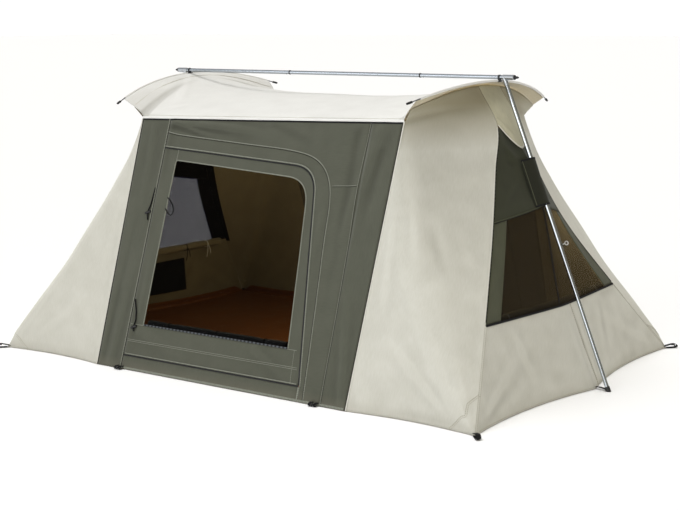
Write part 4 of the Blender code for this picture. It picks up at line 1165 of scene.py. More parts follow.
CORD_DIAMETER = 0.0105
TOGGLE_RADIUS = 0.0100
TOGGLE_HALF = 0.027
# A toggle lies along the wall, a little raised at its outer end
TOGGLE_ALONG, TOGGLE_UP = 0.94, 0.34
# The toggle's outline: share of its half length and of its radius
TOGGLE_OUTLINE = (
    (-1, 0.55),
    (-0.94, 0.85),
    (-0.8, 1),
    (-0.35, 1),
    (-0.2, 0.75),
    (0, 0.7),
    (0.2, 0.75),
    (0.35, 1),
    (0.8, 1),
    (0.94, 0.85),
    (1, 0.55),
)
# Knots of the cords as they hang: x, slope and how far proud of the wall
UPPER_TIE = (
    (-0.914, 1.375, 0.002),
    (-0.915, 1.31, 0.006),
    (-0.921, 1.24, 0.007),
    (-0.938, 1.189, 0.008),
    (-0.924, 1.126, 0.006),
)
LOWER_TIE = (
    (-0.889, 0.525, 0.002),
    (-0.872, 0.483, 0.008),
    (-0.845, 0.426, 0.009),
    (-0.840, 0.366, 0.009),
    (-0.852, 0.327, 0.009),
    (-0.842, 0.29, 0.007),
)
EDGE_LOOP = (
    (-0.768, 1.305, 0.003),
    (-0.722, 1.275, 0.006),
    (-0.682, 1.215, 0.007),
    (-0.695, 1.172, 0.007),
    (-0.735, 1.185, 0.006),
    (-0.772, 1.223, 0.003),
)


def moulded_nylon(name, colour, worn, roughness=0.5):
    """Black glass-filled nylon: satin, with a fine moulded grain and greyed corners."""
    material, tree, shader = new_material(name)
    place = add_node(tree, "TexCoord").outputs["Object"]
    # Spark-eroded grain of 0.4 mm, drawn at 1 mm, and scuffs about 20 mm across
    grain = add_node(tree, "TexNoise", Vector=place, Scale=1000.0, Detail=2.0).outputs["Fac"]
    scuff = add_node(tree, "TexNoise", Vector=place, Scale=50.0, Detail=4.0).outputs["Fac"]
    mixed = add_node(tree, "Mix", COLOURS, Factor=scuff, _6=linear(colour), _7=linear(worn)).outputs[2]
    rough = add_node(tree, "MapRange", Value=scuff, To_Min=roughness - 0.08, To_Max=roughness + 0.12)
    bump = add_node(tree, "Bump", Height=grain, Strength=0.2, Distance=0.0003).outputs[0]
    plug(tree, shader, Base_Color=mixed, Roughness=rough.outputs[0], Normal=bump, IOR=1.53)
    return material


def add_bar(
    name,
    path,
    radii,
    material,
    body="shell",
    stands_for=None,
    sides=20,
    sharp=50,
    flip=(1, 1, 1),
):
    """A closed round bar along a path, with one radius for each of its points."""
    path = np.array([tuple(p) for p in path], float)
    count = len(path)
    tangents = np.gradient(path, axis=0)
    tangents /= np.linalg.norm(tangents, axis=1, keepdims=True)
    side_way = np.cross(tangents[0], (0.13, 0.21, 0.97))
    points, places = [], []
    lengths = lengths_along(path)
    for i in range(count):
        side_way = side_way - tangents[i] * (side_way @ tangents[i])
        side_way /= np.linalg.norm(side_way)
        other = np.cross(tangents[i], side_way)
        for k in range(sides):
            angle = 2 * math.pi * k / sides
            points.append(path[i] + radii[i] * (math.cos(angle) * side_way + math.sin(angle) * other))
            places.append((radii[i] * angle, lengths[i], 0))
    faces = []
    for i in range(count - 1):
        for k in range(sides):
            n = (k + 1) % sides
            faces.append((i * sides + k, i * sides + n, (i + 1) * sides + n, (i + 1) * sides + k))
    faces.append(tuple(range(sides))[::-1])
    faces.append(tuple((count - 1) * sides + k for k in range(sides)))
    piece = add_mesh(name, np.array(points) * np.array(flip), faces, [material], places, sharp)
    dress(piece, body, stands_for)
    return piece


black_nylon = moulded_nylon("moulded_black_nylon", "#0C0C0E", "#17181A")
# Braided polyester cord, dull black with a fine braid
braided_cord = woven_tape("black_braided_cord", "#040405", "#0C0C0E", 0.004, roughness=0.85)


def hung_cord(name, knots, body, side, toggle_at=None):
    """A cord that hangs on a wall, with a toggle at one of its 40 points."""
    spots = resample(soften(knots), 40).tolist()
    path = [on_wall(x, s, -wall_relief(x, s) - out, side) for x, s, out in spots]
    radii = [CORD_DIAMETER / 2] * len(path)
    cord = add_bar(name, path, radii, braided_cord, body, sides=10, sharp=None)
    if toggle_at is not None:
        middle = np.array(path[toggle_at])
        up_wall = np.array(UP_WALL) * np.array((side, side, 1))
        way = np.array((side, 0.0, 0.0)) * TOGGLE_ALONG + up_wall * TOGGLE_UP
        ends = [middle + way * TOGGLE_HALF * step for step, _ in TOGGLE_OUTLINE]
        radii = [TOGGLE_RADIUS * share for _, share in TOGGLE_OUTLINE]
        name = f"{name}_toggle"
        toggle = add_bar(name, ends, radii, black_nylon, body, sides=16, sharp=None)
    track = settled(path)


for word, side in WALLS:
    hung_cord(f"{word}_tie_back_upper", UPPER_TIE, "shell", side, 30)
    hung_cord(f"{word}_tie_back_lower", LOWER_TIE, f"{word}_door", side, 34)
hung_cord("front_door_edge_loop", EDGE_LOOP, "front_door", 1)

# Lower end walls
# Cream duck from the ground up to the window sill, sewn to the corner panels. It is bulged
# outwards under the end pole and pulled hollow between the stakes, with a pleat under the
# window. A webbing strap runs from its hem to the pole's foot.

ENDS = (("right", 1), ("left", -1))
WINDOW_MID_X = 1.977
YOKE_SEAM_HEIGHT = 1.150
YOKE_MID_HEIGHT = 1.250
WALL_UNDER_POLE = 0.028
VENT_RECESS = 0.075
BULGE_POWER = 1.35
BULGE_FADES_OVER = 0.25
SLEEVE_TOP = 1.579
RIDGE_HEIGHT = 2.133
POLE_TOP_X = 1.485
POLE_FOOT_X = 2.338
POLE_AXIS = Vector((POLE_FOOT_X - POLE_TOP_X, 0, -RIDGE_HEIGHT)).normalized()
OUT_OF_POLE = Vector((-POLE_AXIS.z, 0, POLE_AXIS.x))
LOWER_FOLDS = (
    ((2.20, 0.10, 0.00), (1.99, 0.12, 0.56), 0.016, -0.009),
    ((2.21, 0.14, 0.00), (2.00, 0.16, 0.56), 0.020, 0.005),
    ((2.10, -1.30, 0.05), (1.99, -0.40, 0.50), 0.060, 0.006),
    ((2.10, -1.30, 0.02), (2.02, -0.60, 0.24), 0.045, -0.004),
    ((2.10, 1.30, 0.05), (2.00, 0.45, 0.50), 0.060, 0.005),
    ((1.96, -0.70, 0.55), (2.10, -0.55, 0.05), 0.045, 0.004),
    ((1.98, 0.62, 0.55), (2.10, 0.50, 0.05), 0.050, -0.004),
)
# The strap from the hem to the pole's foot, lying on the ground
FOOT_STRAP = ((2.232, 0.022, 0.012), (2.262, 0.019, 0.016), (2.300, 0.013, 0.012), (2.336, 0.006, 0.007))


def on_pole(height, out=0.0, along_y=0.0):
    """A point on the right end pole's axis at a height, or off it."""
    drop = (RIDGE_HEIGHT - height) / -POLE_AXIS.z
    return Vector((POLE_TOP_X, along_y, RIDGE_HEIGHT)) + drop * POLE_AXIS + out * OUT_OF_POLE


def end_wall_point(share, height):
    """A point of the right end wall between its seams, under the hood and sleeve."""
    seam = seam_point(height)
    if height <= YOKE_MID_HEIGHT:
        lower = on_pole(YOKE_MID_HEIGHT, -WALL_UNDER_POLE).x
        t = (height - WINDOW_SILL) / (YOKE_MID_HEIGHT - WINDOW_SILL)
        middle = WINDOW_MID_X + (lower - WINDOW_MID_X) * t
    else:
        t = max(0.0, (height - SLEEVE_TOP) / (HOOD_CORNER_HEIGHT - SLEEVE_TOP))
        middle = on_pole(height, -WALL_UNDER_POLE - VENT_RECESS * min(t, 1)).x
    power = BULGE_POWER - (BULGE_POWER - 1) * float(ease((height - YOKE_SEAM_HEIGHT) / BULGE_FADES_OVER))
    x = seam.x + (middle - seam.x) * (1 - abs(share) ** power)
    return Vector((x, share * seam.y, height))


def lower_end_point(share, t):
    """A point of the lower end wall, t from 0 at the hem to 1 at the window sill."""
    point = end_hem(share).lerp(end_wall_point(share, WINDOW_SILL), t)
    point.z = HEM_LIFT + (WINDOW_SILL - HEM_LIFT) * t
    return point


lower_grid = rows_of(lower_end_point, np.linspace(-1, 1, 141), np.linspace(0, 1, 34))
for word, side in ENDS:
    flip = np.array([side, 1, 1])
    grid = relieve(lower_grid, 0.006, 0.36, 20 + side, LOWER_FOLDS, margin=0.05)
    name = f"cream_end_lower_{word}"
    cloths = (cream_duck, cream_inside)
    add_sheet(name, grid * flip, cloths, "cream_canvas", f"end_lower_{word}", (2.95, 0.64), 1.53)
    # The pleat's seam from the window to the pole's foot, whose darker band is also painted shade in the
    # pleat's crease, and the binding along the window
    pleat = trace(grid, [(0.01, 0.535), (0.5, 0.545), (0.985, 0.552)], 30)
    sill_line = trace(grid, [(0.993, 0.002), (0.993, 0.998)], 120)
    hem_line = trace(grid, [(0.02, 0.01), (0.02, 0.99)], 120)
    pleats = [(*pleat, 0.009, 0.004, 0.0)]
    stitching = [(*pleat, 0.003, 0.002, 0.008), (*hem_line, 0.003, 0.0016, 0.0)]
    straps = [(resample(soften(FOOT_STRAP), 24), (0, 0, 1), 0.026, 0.003, 0)]
    add_bands(f"end_pleat_{word}", pleats, cream_stitch, flip)
    add_bands(f"end_stitching_{word}", stitching, cream_stitch, flip)
    binding = [(*sill_line, 0.015, 0.0035, 0.0)]
    add_bands(f"window_binding_{word}", binding, black_webbing, flip)
    add_bands(f"foot_strap_{word}", straps, black_webbing, flip)

# Stake loops
# Short loops of black webbing sewn into the hem at the corners and beside the door, and the
# bent wire pins that hold the ones beside the door.

LOOP_WIDTH = 0.024
PIN_RADIUS = 0.0035
LOOP_PLACES = (-0.905, 0.892)
# Both ends of a loop beside the door are sewn in this far from its middle
LOOP_SPREAD = 0.024
LOOP_SEWN_Y = -1.441
# The two halves of a loop close by this share over this distance, towards the pin
LOOP_CLOSES = 0.3
LOOP_REACH = 0.048
# y and height of those loops and of their pins
LOOP_SHAPE = (
    (LOOP_SEWN_Y, 0.020),
    (-1.458, 0.024),
    (-1.478, 0.020),
    (-1.489, 0.010),
    (-1.480, 0.004),
    (-1.462, 0.003),
)
PIN_SHAPE = ((-1.482, 0.001), (-1.484, 0.016), (-1.482, 0.026), (-1.473, 0.031), (-1.462, 0.029))
# The corner loops, from the stake point outwards along the diagonal: how far and how high
CORNER_LOOP = (
    (-0.030, 0.014),
    (0.015, 0.024),
    (0.055, 0.033),
    (0.086, 0.028),
    (0.092, 0.010),
    (0.06, 0.004),
    (0.0, 0.004),
)
CORNER_LOOP_WIDTH = 0.034
OUTWARDS = np.array([0.68, -0.73, 0.0])
STAKE_POINT = np.array([FLOOR_LENGTH / 2, -FLOOR_DEPTH / 2, 0.0])

# Black paint on wire: nearly as dark as the webbing, with a soft gleam
pin_steel = moulded_nylon("black_painted_steel_wire", "#0E0E0E", "#1A1A1B", 0.4)
knots = [STAKE_POINT + far * OUTWARDS + np.array([0, 0, high]) for far, high in CORNER_LOOP]
path = resample(soften(knots), 40)
facing = np.cross(np.gradient(path, axis=0), np.cross(OUTWARDS, (0, 0, 1.0)))
for place, side, back in CORNERS:
    corner_loop = [(path, facing, CORNER_LOOP_WIDTH, 0.003, 0)]
    add_bands(f"corner_loop_{place}", corner_loop, black_webbing, (side, back, 1))
for word, side in WALLS:
    loops = []
    for x in LOOP_PLACES:
        for shift in (-LOOP_SPREAD, LOOP_SPREAD):
            shape = []
            for y, z in LOOP_SHAPE:
                apart = (LOOP_SEWN_Y - y) / LOOP_REACH * -LOOP_CLOSES + 1
                shape.append((x + shift * max(0.0, apart), y, z))
            path = resample(soften(shape), 30)
            loops.append((path, np.cross((-1.0, 0, 0), np.gradient(path, axis=0)), LOOP_WIDTH, 0.002, 0))
    add_bands(f"{word}_stake_loops", loops, black_webbing, (side, side, 1))
    for number, x in enumerate(LOOP_PLACES):
        path = resample(soften([(x, y, z) for y, z in PIN_SHAPE]), 24)
        name = f"{word}_stake_pin_{number + 1}"
        flip = (side, side, 1)
        add_bar(name, path, [PIN_RADIUS] * 24, pin_steel, sides=12, flip=flip)

# Upper end walls
# Sage duck over the window and in a strip down each side of it. The mesh window fills the
# gap, and its inner cover of cream duck lies rolled on the sill, held by four ties.

BORDER_AT_SILL = 0.170
BORDER_AT_YOKE = 0.105
SILL_ROLL_RADIUS = 0.036
SILL_ROLL_SPAN = 0.86
SILL_ROLL_IN = 0.048
SILL_TIE_RADIUS = 0.0285
# How far the strips and the mesh reach past the hems over them, and lie behind them
STRIP_OVERLAP = 0.035
STRIP_PAST_HEM, MESH_PAST_HEM, MESH_PAST_STRIP = 0.008, 0.006, 0.01
STRIP_BEHIND, MESH_BEHIND = 0.0016, 0.004
YOKE_FOLDS = (
    ((1.66, -0.40, 1.20), (1.66, -0.10, 1.45), 0.022, 0.010),
    ((1.68, 0.40, 1.20), (1.66, 0.12, 1.45), 0.022, 0.010),
    ((1.55, -0.22, 1.76), (1.66, -0.08, 1.55), 0.020, 0.012),
    ((1.58, -0.28, 1.66), (1.66, -0.12, 1.50), 0.016, -0.009),
    ((1.60, 0.26, 1.62), (1.66, 0.10, 1.52), 0.020, 0.010),
)


def border_share(height):
    """How far across the end wall the window starts."""
    rise = (height - WINDOW_SILL) / (YOKE_SEAM_HEIGHT - WINDOW_SILL)
    width = BORDER_AT_SILL + (BORDER_AT_YOKE - BORDER_AT_SILL) * max(0.0, rise)
    return 1 - width / seam_point(height).y


def yoke_hem(share):
    """The height of the yoke's lower edge, which rises from the seams to the pole."""
    return YOKE_SEAM_HEIGHT + (YOKE_MID_HEIGHT - YOKE_SEAM_HEIGHT) * (1 - abs(share))


def yoke_point(share, v):
    """A point of the sage panel over the window."""
    low = yoke_hem(share)
    return end_wall_point(share, low + (HOOD_CORNER_HEIGHT - 0.02 - low) * v)


def strip_point(across, v):
    """A point of the sage strip beside the window, just behind the yoke's hem."""
    height = WINDOW_SILL + (YOKE_SEAM_HEIGHT + STRIP_OVERLAP - WINDOW_SILL) * v
    share = 1 - (1 - border_share(height)) * across
    height = min(height, yoke_hem(share) + STRIP_PAST_HEM)
    return end_wall_point(share, height) - Vector((STRIP_BEHIND, 0, 0))


def screen_point(u, v):
    """A point of the window's mesh, just behind the strips."""
    height = WINDOW_SILL + (YOKE_SEAM_HEIGHT - WINDOW_SILL) * v
    share = u * (border_share(height) + MESH_PAST_STRIP)
    rise = (yoke_hem(share) + MESH_PAST_HEM - YOKE_SEAM_HEIGHT) * float(ease((v - 0.5) * 2))
    return end_wall_point(share, height + rise) - Vector((MESH_BEHIND, 0, 0))


yoke_grid = rows_of(yoke_point, np.linspace(-1, 1, 61), np.linspace(0, 1, 36))
strip_grid = rows_of(strip_point, np.linspace(0, 1, 9), np.linspace(0, 1, 34))
screen_grid = rows_of(screen_point, np.linspace(-1, 1, 61), np.linspace(0, 1, 33))
# The yoke is painted darker, as shade under the hood; its inner face and the strips' are painted black, as
# the shade inside
yoke_black = cotton_duck("sage_duck_inner_face_painted_black", "#050505", "#040404", dust="#050505", sheen=0.0)
yoke_duck = cotton_duck("sage_duck_yoke_painted_shade", "#333522", "#2D2F1E")
# The strips beside the window are painted greener and darker than the long walls, as the dimmer, warmer
# light on the end wall
strip_duck = cotton_duck("sage_duck_end_painted_shade", "#4C4E3A", "#454733")
olive_edge = woven_tape("olive_seam_edge", "#5C5E4B", "#474937", 0.012)
# The rolled covers inside are painted darker, as shade inside the tent
roll_duck = cotton_duck("cream_duck_rolled_inside", "#9A8F74", "#8A8067")
# The windows' netting gleams outside. Inside, the left one is painted blue, which stands for the light of
# the sky seen through it
window_mesh = insect_mesh("polyester_netting_window", "#211F19", 0.60, gleam=1.0)
window_mesh_inside = {
    "right": insect_mesh("polyester_netting_window_inner_face", "#24242E", 0.60),
    "left": insect_mesh("polyester_netting_left_window_painted_sky_light", "#393E7C", 0.63),
}
# Ties round the roll, white at its ends and black between
ROLL_TIES = ((0.10, cream_tape), (0.90, cream_tape), (0.30, black_webbing), (0.74, black_webbing))
for word, side in ENDS:
    flip = np.array([side, 1, 1])
    yoke_shaded_cloths, strip_shaded_cloths = (yoke_duck, yoke_black), (strip_duck, yoke_black)
    replaced = f"end_yoke_{word}"
    yoke = relieve(yoke_grid, 0.004, 0.22, 30 + side, YOKE_FOLDS, margin=0.03)
    name = f"sage_yoke_{word}"
    add_sheet(name, yoke * flip, yoke_shaded_cloths, "sage_canvas", replaced, (0.98, 0.64), 0.42)
    for place, back in (("front", -1), ("back", 1)):
        strip = relieve(strip_grid, 0.004, 0.16, 60 + side + back, margin=0.03)
        name = f"sage_strip_{place}_{word}"
        mirrored = strip * (side, back, 1)
        add_sheet(name, mirrored, strip_shaded_cloths, "sage_canvas", replaced, (0.17, 0.74), 0.09)
    # Hems of the yoke and of both strips, and the window's middle seam under the pole
    hem = trace(yoke, [(0.012, 0.0), (0.012, 1.0)], 60)
    strip = relieve(strip_grid, 0.004, 0.16, 60 + side - 1, margin=0.03)
    strip_hem = trace(strip, [(0.01, 0.95), (0.93, 0.93)], 40)
    mirrored_hem = [part * (1, -1, 1) for part in strip_hem]
    hems = [(*line, 0.006, 0.003, 0.0) for line in (hem, strip_hem, mirrored_hem)]
    add_bands(f"end_hems_{word}", hems, olive_edge, flip)
    screen = relieve(screen_grid, 0.003, 0.30, 33 + side, margin=0.03)
    middle = trace(screen, [(0.01, 0.475), (0.5, 0.48), (0.99, 0.497)], 40)
    seams = [(*middle, 0.016, 0.003, 0.0), (*hem, 0.004, 0.0022, 0.009)]
    add_bands(f"end_dark_seams_{word}", seams, black_webbing, flip)
    add_sheet(
        f"end_netting_{word}",
        screen * flip,
        (window_mesh, window_mesh_inside[word]),
        "screen_mesh",
        f"window_screen_{word}",
        (1.62, 0.68),
        0.78,
        thickness=THIN_CLOTH,
    )
    shares = np.linspace(-SILL_ROLL_SPAN, SILL_ROLL_SPAN, 60).tolist()
    inwards = Vector((SILL_ROLL_IN, 0, 2 * SEAM_GAP))
    line = [end_wall_point(share, WINDOW_SILL) - inwards for share in shares]
    tied = sorted(share for share, _ in ROLL_TIES)
    roll = rolled(SILL_ROLL_RADIUS - 0.001, line, Vector((1, 0, 0)), Vector((0, 0, 1)), tied)
    add_sheet(
        f"rolled_cover_{word}",
        roll * flip,
        (roll_duck, roll_duck),
        "cream_canvas",
        f"window_roll_{word}",
        (1.55, 0.40),
        held="folded",
    )
    for share, tape in ROLL_TIES:
        middle = line[round(share * (len(line) - 1))]
        runs = [tie_round(middle, SILL_TIE_RADIUS, (1, 0, 0), (0, 0, 1), 0.012)]
        # Its two tails hang inside the wall
        for step, drop in ((-0.012, 0.11), (0.012, 0.085)):
            knots = [(-0.030, step * 0.5, -0.01), (-0.040, step * 1.2, -0.5 * drop)]
            knots.append((-0.034, step * 2.2, -drop))
            tail = resample(soften([tuple(middle + Vector(knot)) for knot in knots]), 12)
            runs.append((tail, (-1, 0, 0), 0.009, 0.0014, 0))
        add_bands(f"roll_tie_{word}_{round(share * 100)}", runs, tape, flip)

# Inner pocket
# A pocket of thin black cloth sewn on three sides to the inside of the left end wall, below
# the window. Its top edge is free and sags open.

POCKET_SHARES = (-0.17, 0.44)
POCKET_HEIGHTS = (0.15, 0.46)
POCKET_GAP = 0.010
POCKET_SAG = 0.014


def pocket_point(u, v):
    """A point of the pocket, which sags open towards its top."""
    share = POCKET_SHARES[0] + (POCKET_SHARES[1] - POCKET_SHARES[0]) * u
    height = POCKET_HEIGHTS[0] + (POCKET_HEIGHTS[1] - POCKET_HEIGHTS[0]) * v
    sag = POCKET_GAP + POCKET_SAG * math.sin(math.pi * u) * (0.4 + 0.6 * v)
    return lower_end_point(share, height / WINDOW_SILL) - Vector((sag, 0, 0))


pocket_grid = rows_of(pocket_point, np.linspace(0, 1, 41), np.linspace(0, 1, 20))
grid = relieve(pocket_grid, 0.004, 0.12, 71, margin=0.02, free="top") * (-1, 1, 1)
pocketing = cotton_duck("black_polyester_pocketing", "#0B0B0B", "#080808", dust="#0B0B0B", sheen=0.03)
cloths = (pocketing, pocketing)
add_sheet("left_inner_pocket", grid, cloths, "sage_canvas", None, (0.78, 0.31), thickness=THIN_CLOTH)

# Pole sleeves and vent hoods
# The sleeve is a pocket of sage duck, hemmed at both ends, that holds the end wall to the
# pole. The hood is cream duck, free along its lower edge, and keeps rain out of the vent.

SLEEVE_BOTTOM = 1.258
SLEEVE_HALF = 0.085
SLEEVE_EDGE = 0.038
SLEEVE_RISE = 0.062
SLEEVE_POWER = 1.4
HOOD_MID = (1.640, 0.0, 1.642)
HOOD_BULGE = 0.026
HOOD_POWER = 1.7
HOOD_FOLDS = (
    ((1.50, -0.16, 1.86), (1.64, -0.02, 1.66), 0.018, 0.009),
    ((1.50, 0.16, 1.86), (1.64, 0.03, 1.66), 0.018, 0.009),
    ((1.45, -0.10, 2.02), (1.55, -0.14, 1.84), 0.016, -0.008),
    ((1.45, 0.06, 2.02), (1.54, 0.15, 1.86), 0.014, -0.008),
)


def sleeve_point(u, v):
    """A point of the sleeve, which arches over the pole."""
    rise = max(0.0, math.cos(math.pi * u / 2))
    out = SLEEVE_RISE * rise**SLEEVE_POWER - SLEEVE_EDGE
    return on_pole(SLEEVE_BOTTOM + (SLEEVE_TOP - SLEEVE_BOTTOM) * v, out, SLEEVE_HALF * u)


def hood_point(u, v):
    """A point of the hood, from the roof down to its round lower edge."""
    edge = seam_point(SEAM_TOP.z + (HOOD_CORNER_HEIGHT - SEAM_TOP.z) * v)
    middle = under_roof_edge(0).lerp(Vector(HOOD_MID), v)
    middle += Vector((HOOD_BULGE * math.sin(math.pi * v), 0, 0))
    point = edge.lerp(middle, 1 - abs(u) ** HOOD_POWER)
    point.y = u * (edge.y - SEAM_GAP)
    return point


sleeve_grid = rows_of(sleeve_point, np.linspace(-1, 1, 37), np.linspace(0, 1, 30))
hood_grid = rows_of(hood_point, np.linspace(-1, 1, 41), np.linspace(0, 1, 30))
# Both hang in the roof's shade, which is painted into their colours: the hood a dull yellow, the sleeve
# nearly black
hood_duck = cotton_duck("cream_duck_hood_painted_shade", "#C0BCA3", "#B6B299")
sleeve_duck = cotton_duck("sage_duck_sleeve_painted_shade", "#232416", "#1F2013")
for word, side in ENDS:
    flip = np.array([side, 1, 1])
    grid = relieve(sleeve_grid, 0.003, 0.08, 40 + side, margin=0.03, free="bottomtop")
    cloths = (sleeve_duck, sage_inside)
    name, replaced = f"sage_sleeve_{word}", f"pole_sleeve_{word}"
    add_sheet(name, grid * flip, cloths, "sage_canvas", replaced, (0.22, 0.36))
    sides = [(*trace(grid, [(0.01, u), (0.99, u)], 24), 0.005, 0.002, 0.0) for u in (0.06, 0.94)]
    ends = [(*trace(grid, [(v, 0.01), (v, 0.99)], 30), 0.012, 0.0022, 0.0) for v in (0.02, 0.98)]
    add_bands(f"sleeve_seams_{word}", sides, olive_edge, flip)
    add_bands(f"sleeve_bindings_{word}", ends, black_webbing, flip)
    grid = relieve(hood_grid, 0.003, 0.12, 42 + side, HOOD_FOLDS, margin=0.02, free="top")
    hem = [(*trace(grid, [(0.98, 0.01), (0.98, 0.99)], 50), 0.010, 0.002, 0.0)]
    add_bands(f"hood_hem_{word}", hem, cream_tape, flip)
    cloths = (hood_duck, hood_duck)
    name = f"cream_hood_{word}"
    add_sheet(name, grid * flip, cloths, "cream_canvas", f"vent_hood_{word}", (0.42, 0.46), 0.14)

# Roof
# One sheet of cream duck, bleached by the sun, spread by the flexed rods into a saddle. It
# ends in a hem along each eave and in pockets that the rods run through.

EAVE_HEM = 0.020
ROOF_FOLDS = [
    ((side * x0, q * y0, z0), (side * x1, q * y1, 1.90), width, rise)
    for x0, y0, z0, x1, y1, width, rise, ways in (
        (1.44, 0.0, 2.10, 1.05, 0.60, 0.035, 0.006, (-1,)),
        (1.33, 0.88, 1.97, 0.90, 0.60, 0.025, 0.005, (-1, 1)),
    )
    for q in ways
    for side in (-1, 1)
]

# Bleached nearly white above, painted a darker tan below as shade under the roof, and whitest where the hem
# is doubled
roof_duck = cotton_duck("bleached_cotton_duck", "#E6E6E3", "#DFDEDB")
roof_under = cotton_duck("bleached_duck_underside_painted_shade", "#C4BBA3", "#B9AF95")
hem_white = cotton_duck("bleached_duck_hem", "#F8F8F6", "#F2F2EF")
roof_grid = rows_of(on_roof, np.linspace(-1, 1, 151), np.linspace(-1, 1, 101))
grid = relieve(roof_grid, 0.005, 0.5, 50, ROOF_FOLDS, margin=0.05)
add_sheet("cream_roof", grid, (roof_duck, roof_under), "roof_canvas", "roof_canopy", (2.95, 1.82), 5.1)
eave_hems, roof_seams = [], []
eave_steps = np.linspace(-EAVE_SHARE, EAVE_SHARE, 80)
for q in (-1, 1):
    eave = [on_roof(p, q) - Vector((0, -q * 0.001, 0.006)) for p in eave_steps]
    eave_hems.append((eave, (0, q, 0.15), EAVE_HEM, 0.0042, 0))
    above_hem = [on_roof(p, q * (1 - EAVE_HEM / EAVE_OUT)) for p in eave_steps]
    roof_seams.append((above_hem, (0, 0, 1), 0.005, 0.003, 0))
for p in (-INNER_EDGE, INNER_EDGE):
    over_end = [on_roof(p, q) for q in np.linspace(-0.97, 0.97, 60)]
    roof_seams.append((over_end, (0, 0, 1), 0.005, 0.003, 0))
add_bands("roof_eave_hems", eave_hems, hem_white)
add_bands("roof_seams", roof_seams, cream_tape)

# Flexed rods
# Two rods of oil-tempered spring steel, each in a pocket along one end edge of the roof and
# flexed down from a clamp under the ridge tube, with a moulded nylon cap on both bare ends.

ROD_RADIUS = 0.004
ROD_TAIL = 0.095
ROD_POCKET_RADIUS = 0.0082
CAP_RADIUS = 0.009
CAP_LENGTH = 0.045
ROD_REACH = 1 + ROD_TAIL / BOW_TIP[1]
CAP_FROM = ROD_REACH - CAP_LENGTH / BOW_TIP[1]
# The cap's outline: share of the rod where each ring of it is, and share of its radius
CAP_OUTLINE = (
    (CAP_FROM, 0.8),
    (CAP_FROM + 0.001, 1),
    (ROD_REACH - 0.008, 1),
    (ROD_REACH - 0.003, 0.93),
    (ROD_REACH - 0.0005, 0.75),
    (ROD_REACH, 0.55),
)


def on_bow(share, side):
    """The middle of a flexed rod: share runs from -1 at the front tip to 1 at the back."""
    fall = share * share
    x = BOW_MID[0] - (BOW_MID[0] - BOW_TIP[0]) * fall
    z = BOW_MID[2] - (BOW_MID[2] - BOW_TIP[2]) * fall
    return Vector((side * x, share * BOW_TIP[1], z))


def drawn_steel(name, colour, streak, roughness):
    """Zinc-plated or bare drawn steel: bright, with soft streaks along the bar."""
    material, tree, shader = new_material(name)
    place = add_node(tree, "Attribute", {"attribute_name": "cut"}).outputs["Vector"]
    # Draw marks of 0.4 mm across and about 60 mm long, and spangle about 12 mm across
    marks = add_node(tree, "Mapping", Vector=place, Scale=(900.0, 16.0, 1.0)).outputs[0]
    streaks = add_node(tree, "TexNoise", Vector=marks, Scale=1.0, Detail=3.0).outputs["Fac"]
    bloom = add_node(tree, "TexNoise", Vector=place, Scale=85.0, Detail=4.0, Roughness=0.6).outputs["Fac"]
    mixed = add_node(tree, "Mix", COLOURS, Factor=bloom, _6=linear(colour), _7=linear(streak)).outputs[2]
    rough = add_node(tree, "MapRange", Value=bloom, To_Min=roughness * 0.75, To_Max=roughness * 1.3)
    bump = add_node(tree, "Bump", Height=streaks, Strength=0.15, Distance=0.0002).outputs[0]
    plug(tree, shader, Base_Color=mixed, Roughness=rough.outputs[0], Normal=bump, Metallic=1.0)
    # The passivated surface reflects less at a glancing angle, which darkens a tube's edges
    plug(tree, shader, Specular_Tint=linear("#5A6672"))
    return material


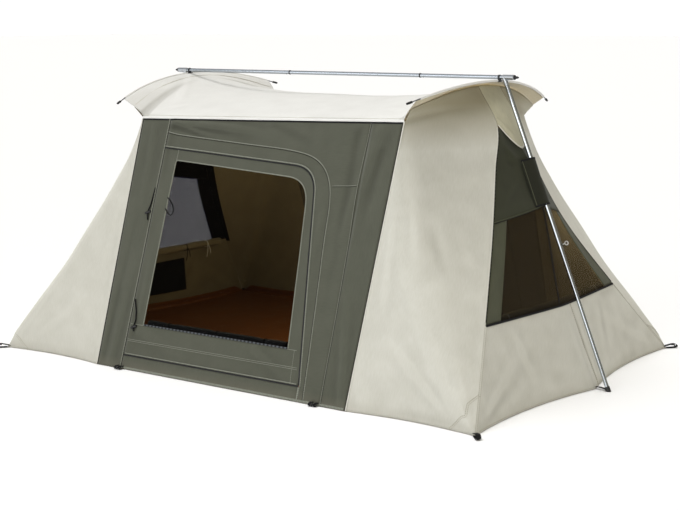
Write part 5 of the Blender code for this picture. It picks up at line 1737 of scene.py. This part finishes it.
spring_steel = drawn_steel("oil_tempered_spring_steel", "#85888C", "#6C6F73", 0.30)
for word, side in reversed(ENDS):
    path = [on_bow(s, side) for s in np.linspace(-CAP_FROM - 0.01, CAP_FROM + 0.01, 81).tolist()]
    name = f"steel_rod_{word}"
    add_bar(name, path, [ROD_RADIUS] * 81, spring_steel, stands_for=f"bow_rod_{word}")
    for place, way in (("front", -1), ("back", 1)):
        # The canvas pocket that this half of the rod runs in
        shares = (way * np.linspace(0.035, 0.975, 60)).tolist()
        radii = [ROD_POCKET_RADIUS * (1 + 0.06 * noise.noise(Vector((s * 14, way, side)))) for s in shares]
        path = [on_bow(s, side) for s in shares]
        add_bar(f"rod_pocket_{place}_{word}", path, radii, roof_duck)
        path = [on_bow(way * s, side) for s, _ in CAP_OUTLINE]
        radii = [CAP_RADIUS * share for _, share in CAP_OUTLINE]
        add_bar(f"rod_cap_{place}_{word}", path, radii, black_nylon, sharp=40)

# Ridge, poles and fittings
# Zinc-plated steel tubes, the ridge in three lengths and each end pole in two, with cast
# end fittings, black nylon plugs, clamps and feet, spring buttons and eye screws.

RIDGE_JOINTS = (("left", -0.410), ("right", 0.790))
# The collar at a joint: how far along the tube and its radius
JOINT_RING = ((-0.006, 0.0138), (-0.004, 0.0168), (0.004, 0.0168), (0.006, 0.0138))

# The tubes are bright and smooth, the eye screws' wire whiter and rougher, the castings greyer
zinc_tube = drawn_steel("zinc_plated_steel_tube", "#C3C9D0", "#AEB6BF", 0.14)
galvanised = drawn_steel("galvanised_steel_wire", "#EDEFF0", "#D4D7DA", 0.42)
cast_grey = drawn_steel("tumbled_cast_aluminium", "#C2C6CA", "#ADB2B7", 0.38)
finishes = (
    (zinc_tube, "ridge_tube", "pole_upper", "pole_lower"),
    (spring_steel, "ridge_button"),
    (galvanised, "eye_screw"),
    (pin_steel, "corner_stake", "front_zip_slider", "back_zip_slider"),
    (cast_grey, "tee_connector"),
    (black_nylon, "tee_plug", "bow_clamp", "pole_foot"),
)
for material, *starts in finishes:
    for name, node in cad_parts.items():
        if name.startswith(tuple(starts)):
            node.material_slots[0].material = material

# The collar rolled round the ridge tube where two lengths meet, painted black
for word, x in RIDGE_JOINTS:
    path = [(x + step, 0, RIDGE_HEIGHT) for step, _ in JOINT_RING]
    radii = [radius for _, radius in JOINT_RING]
    add_bar(f"ridge_joint_bead_{word}", path, radii, pin_steel, sides=32)
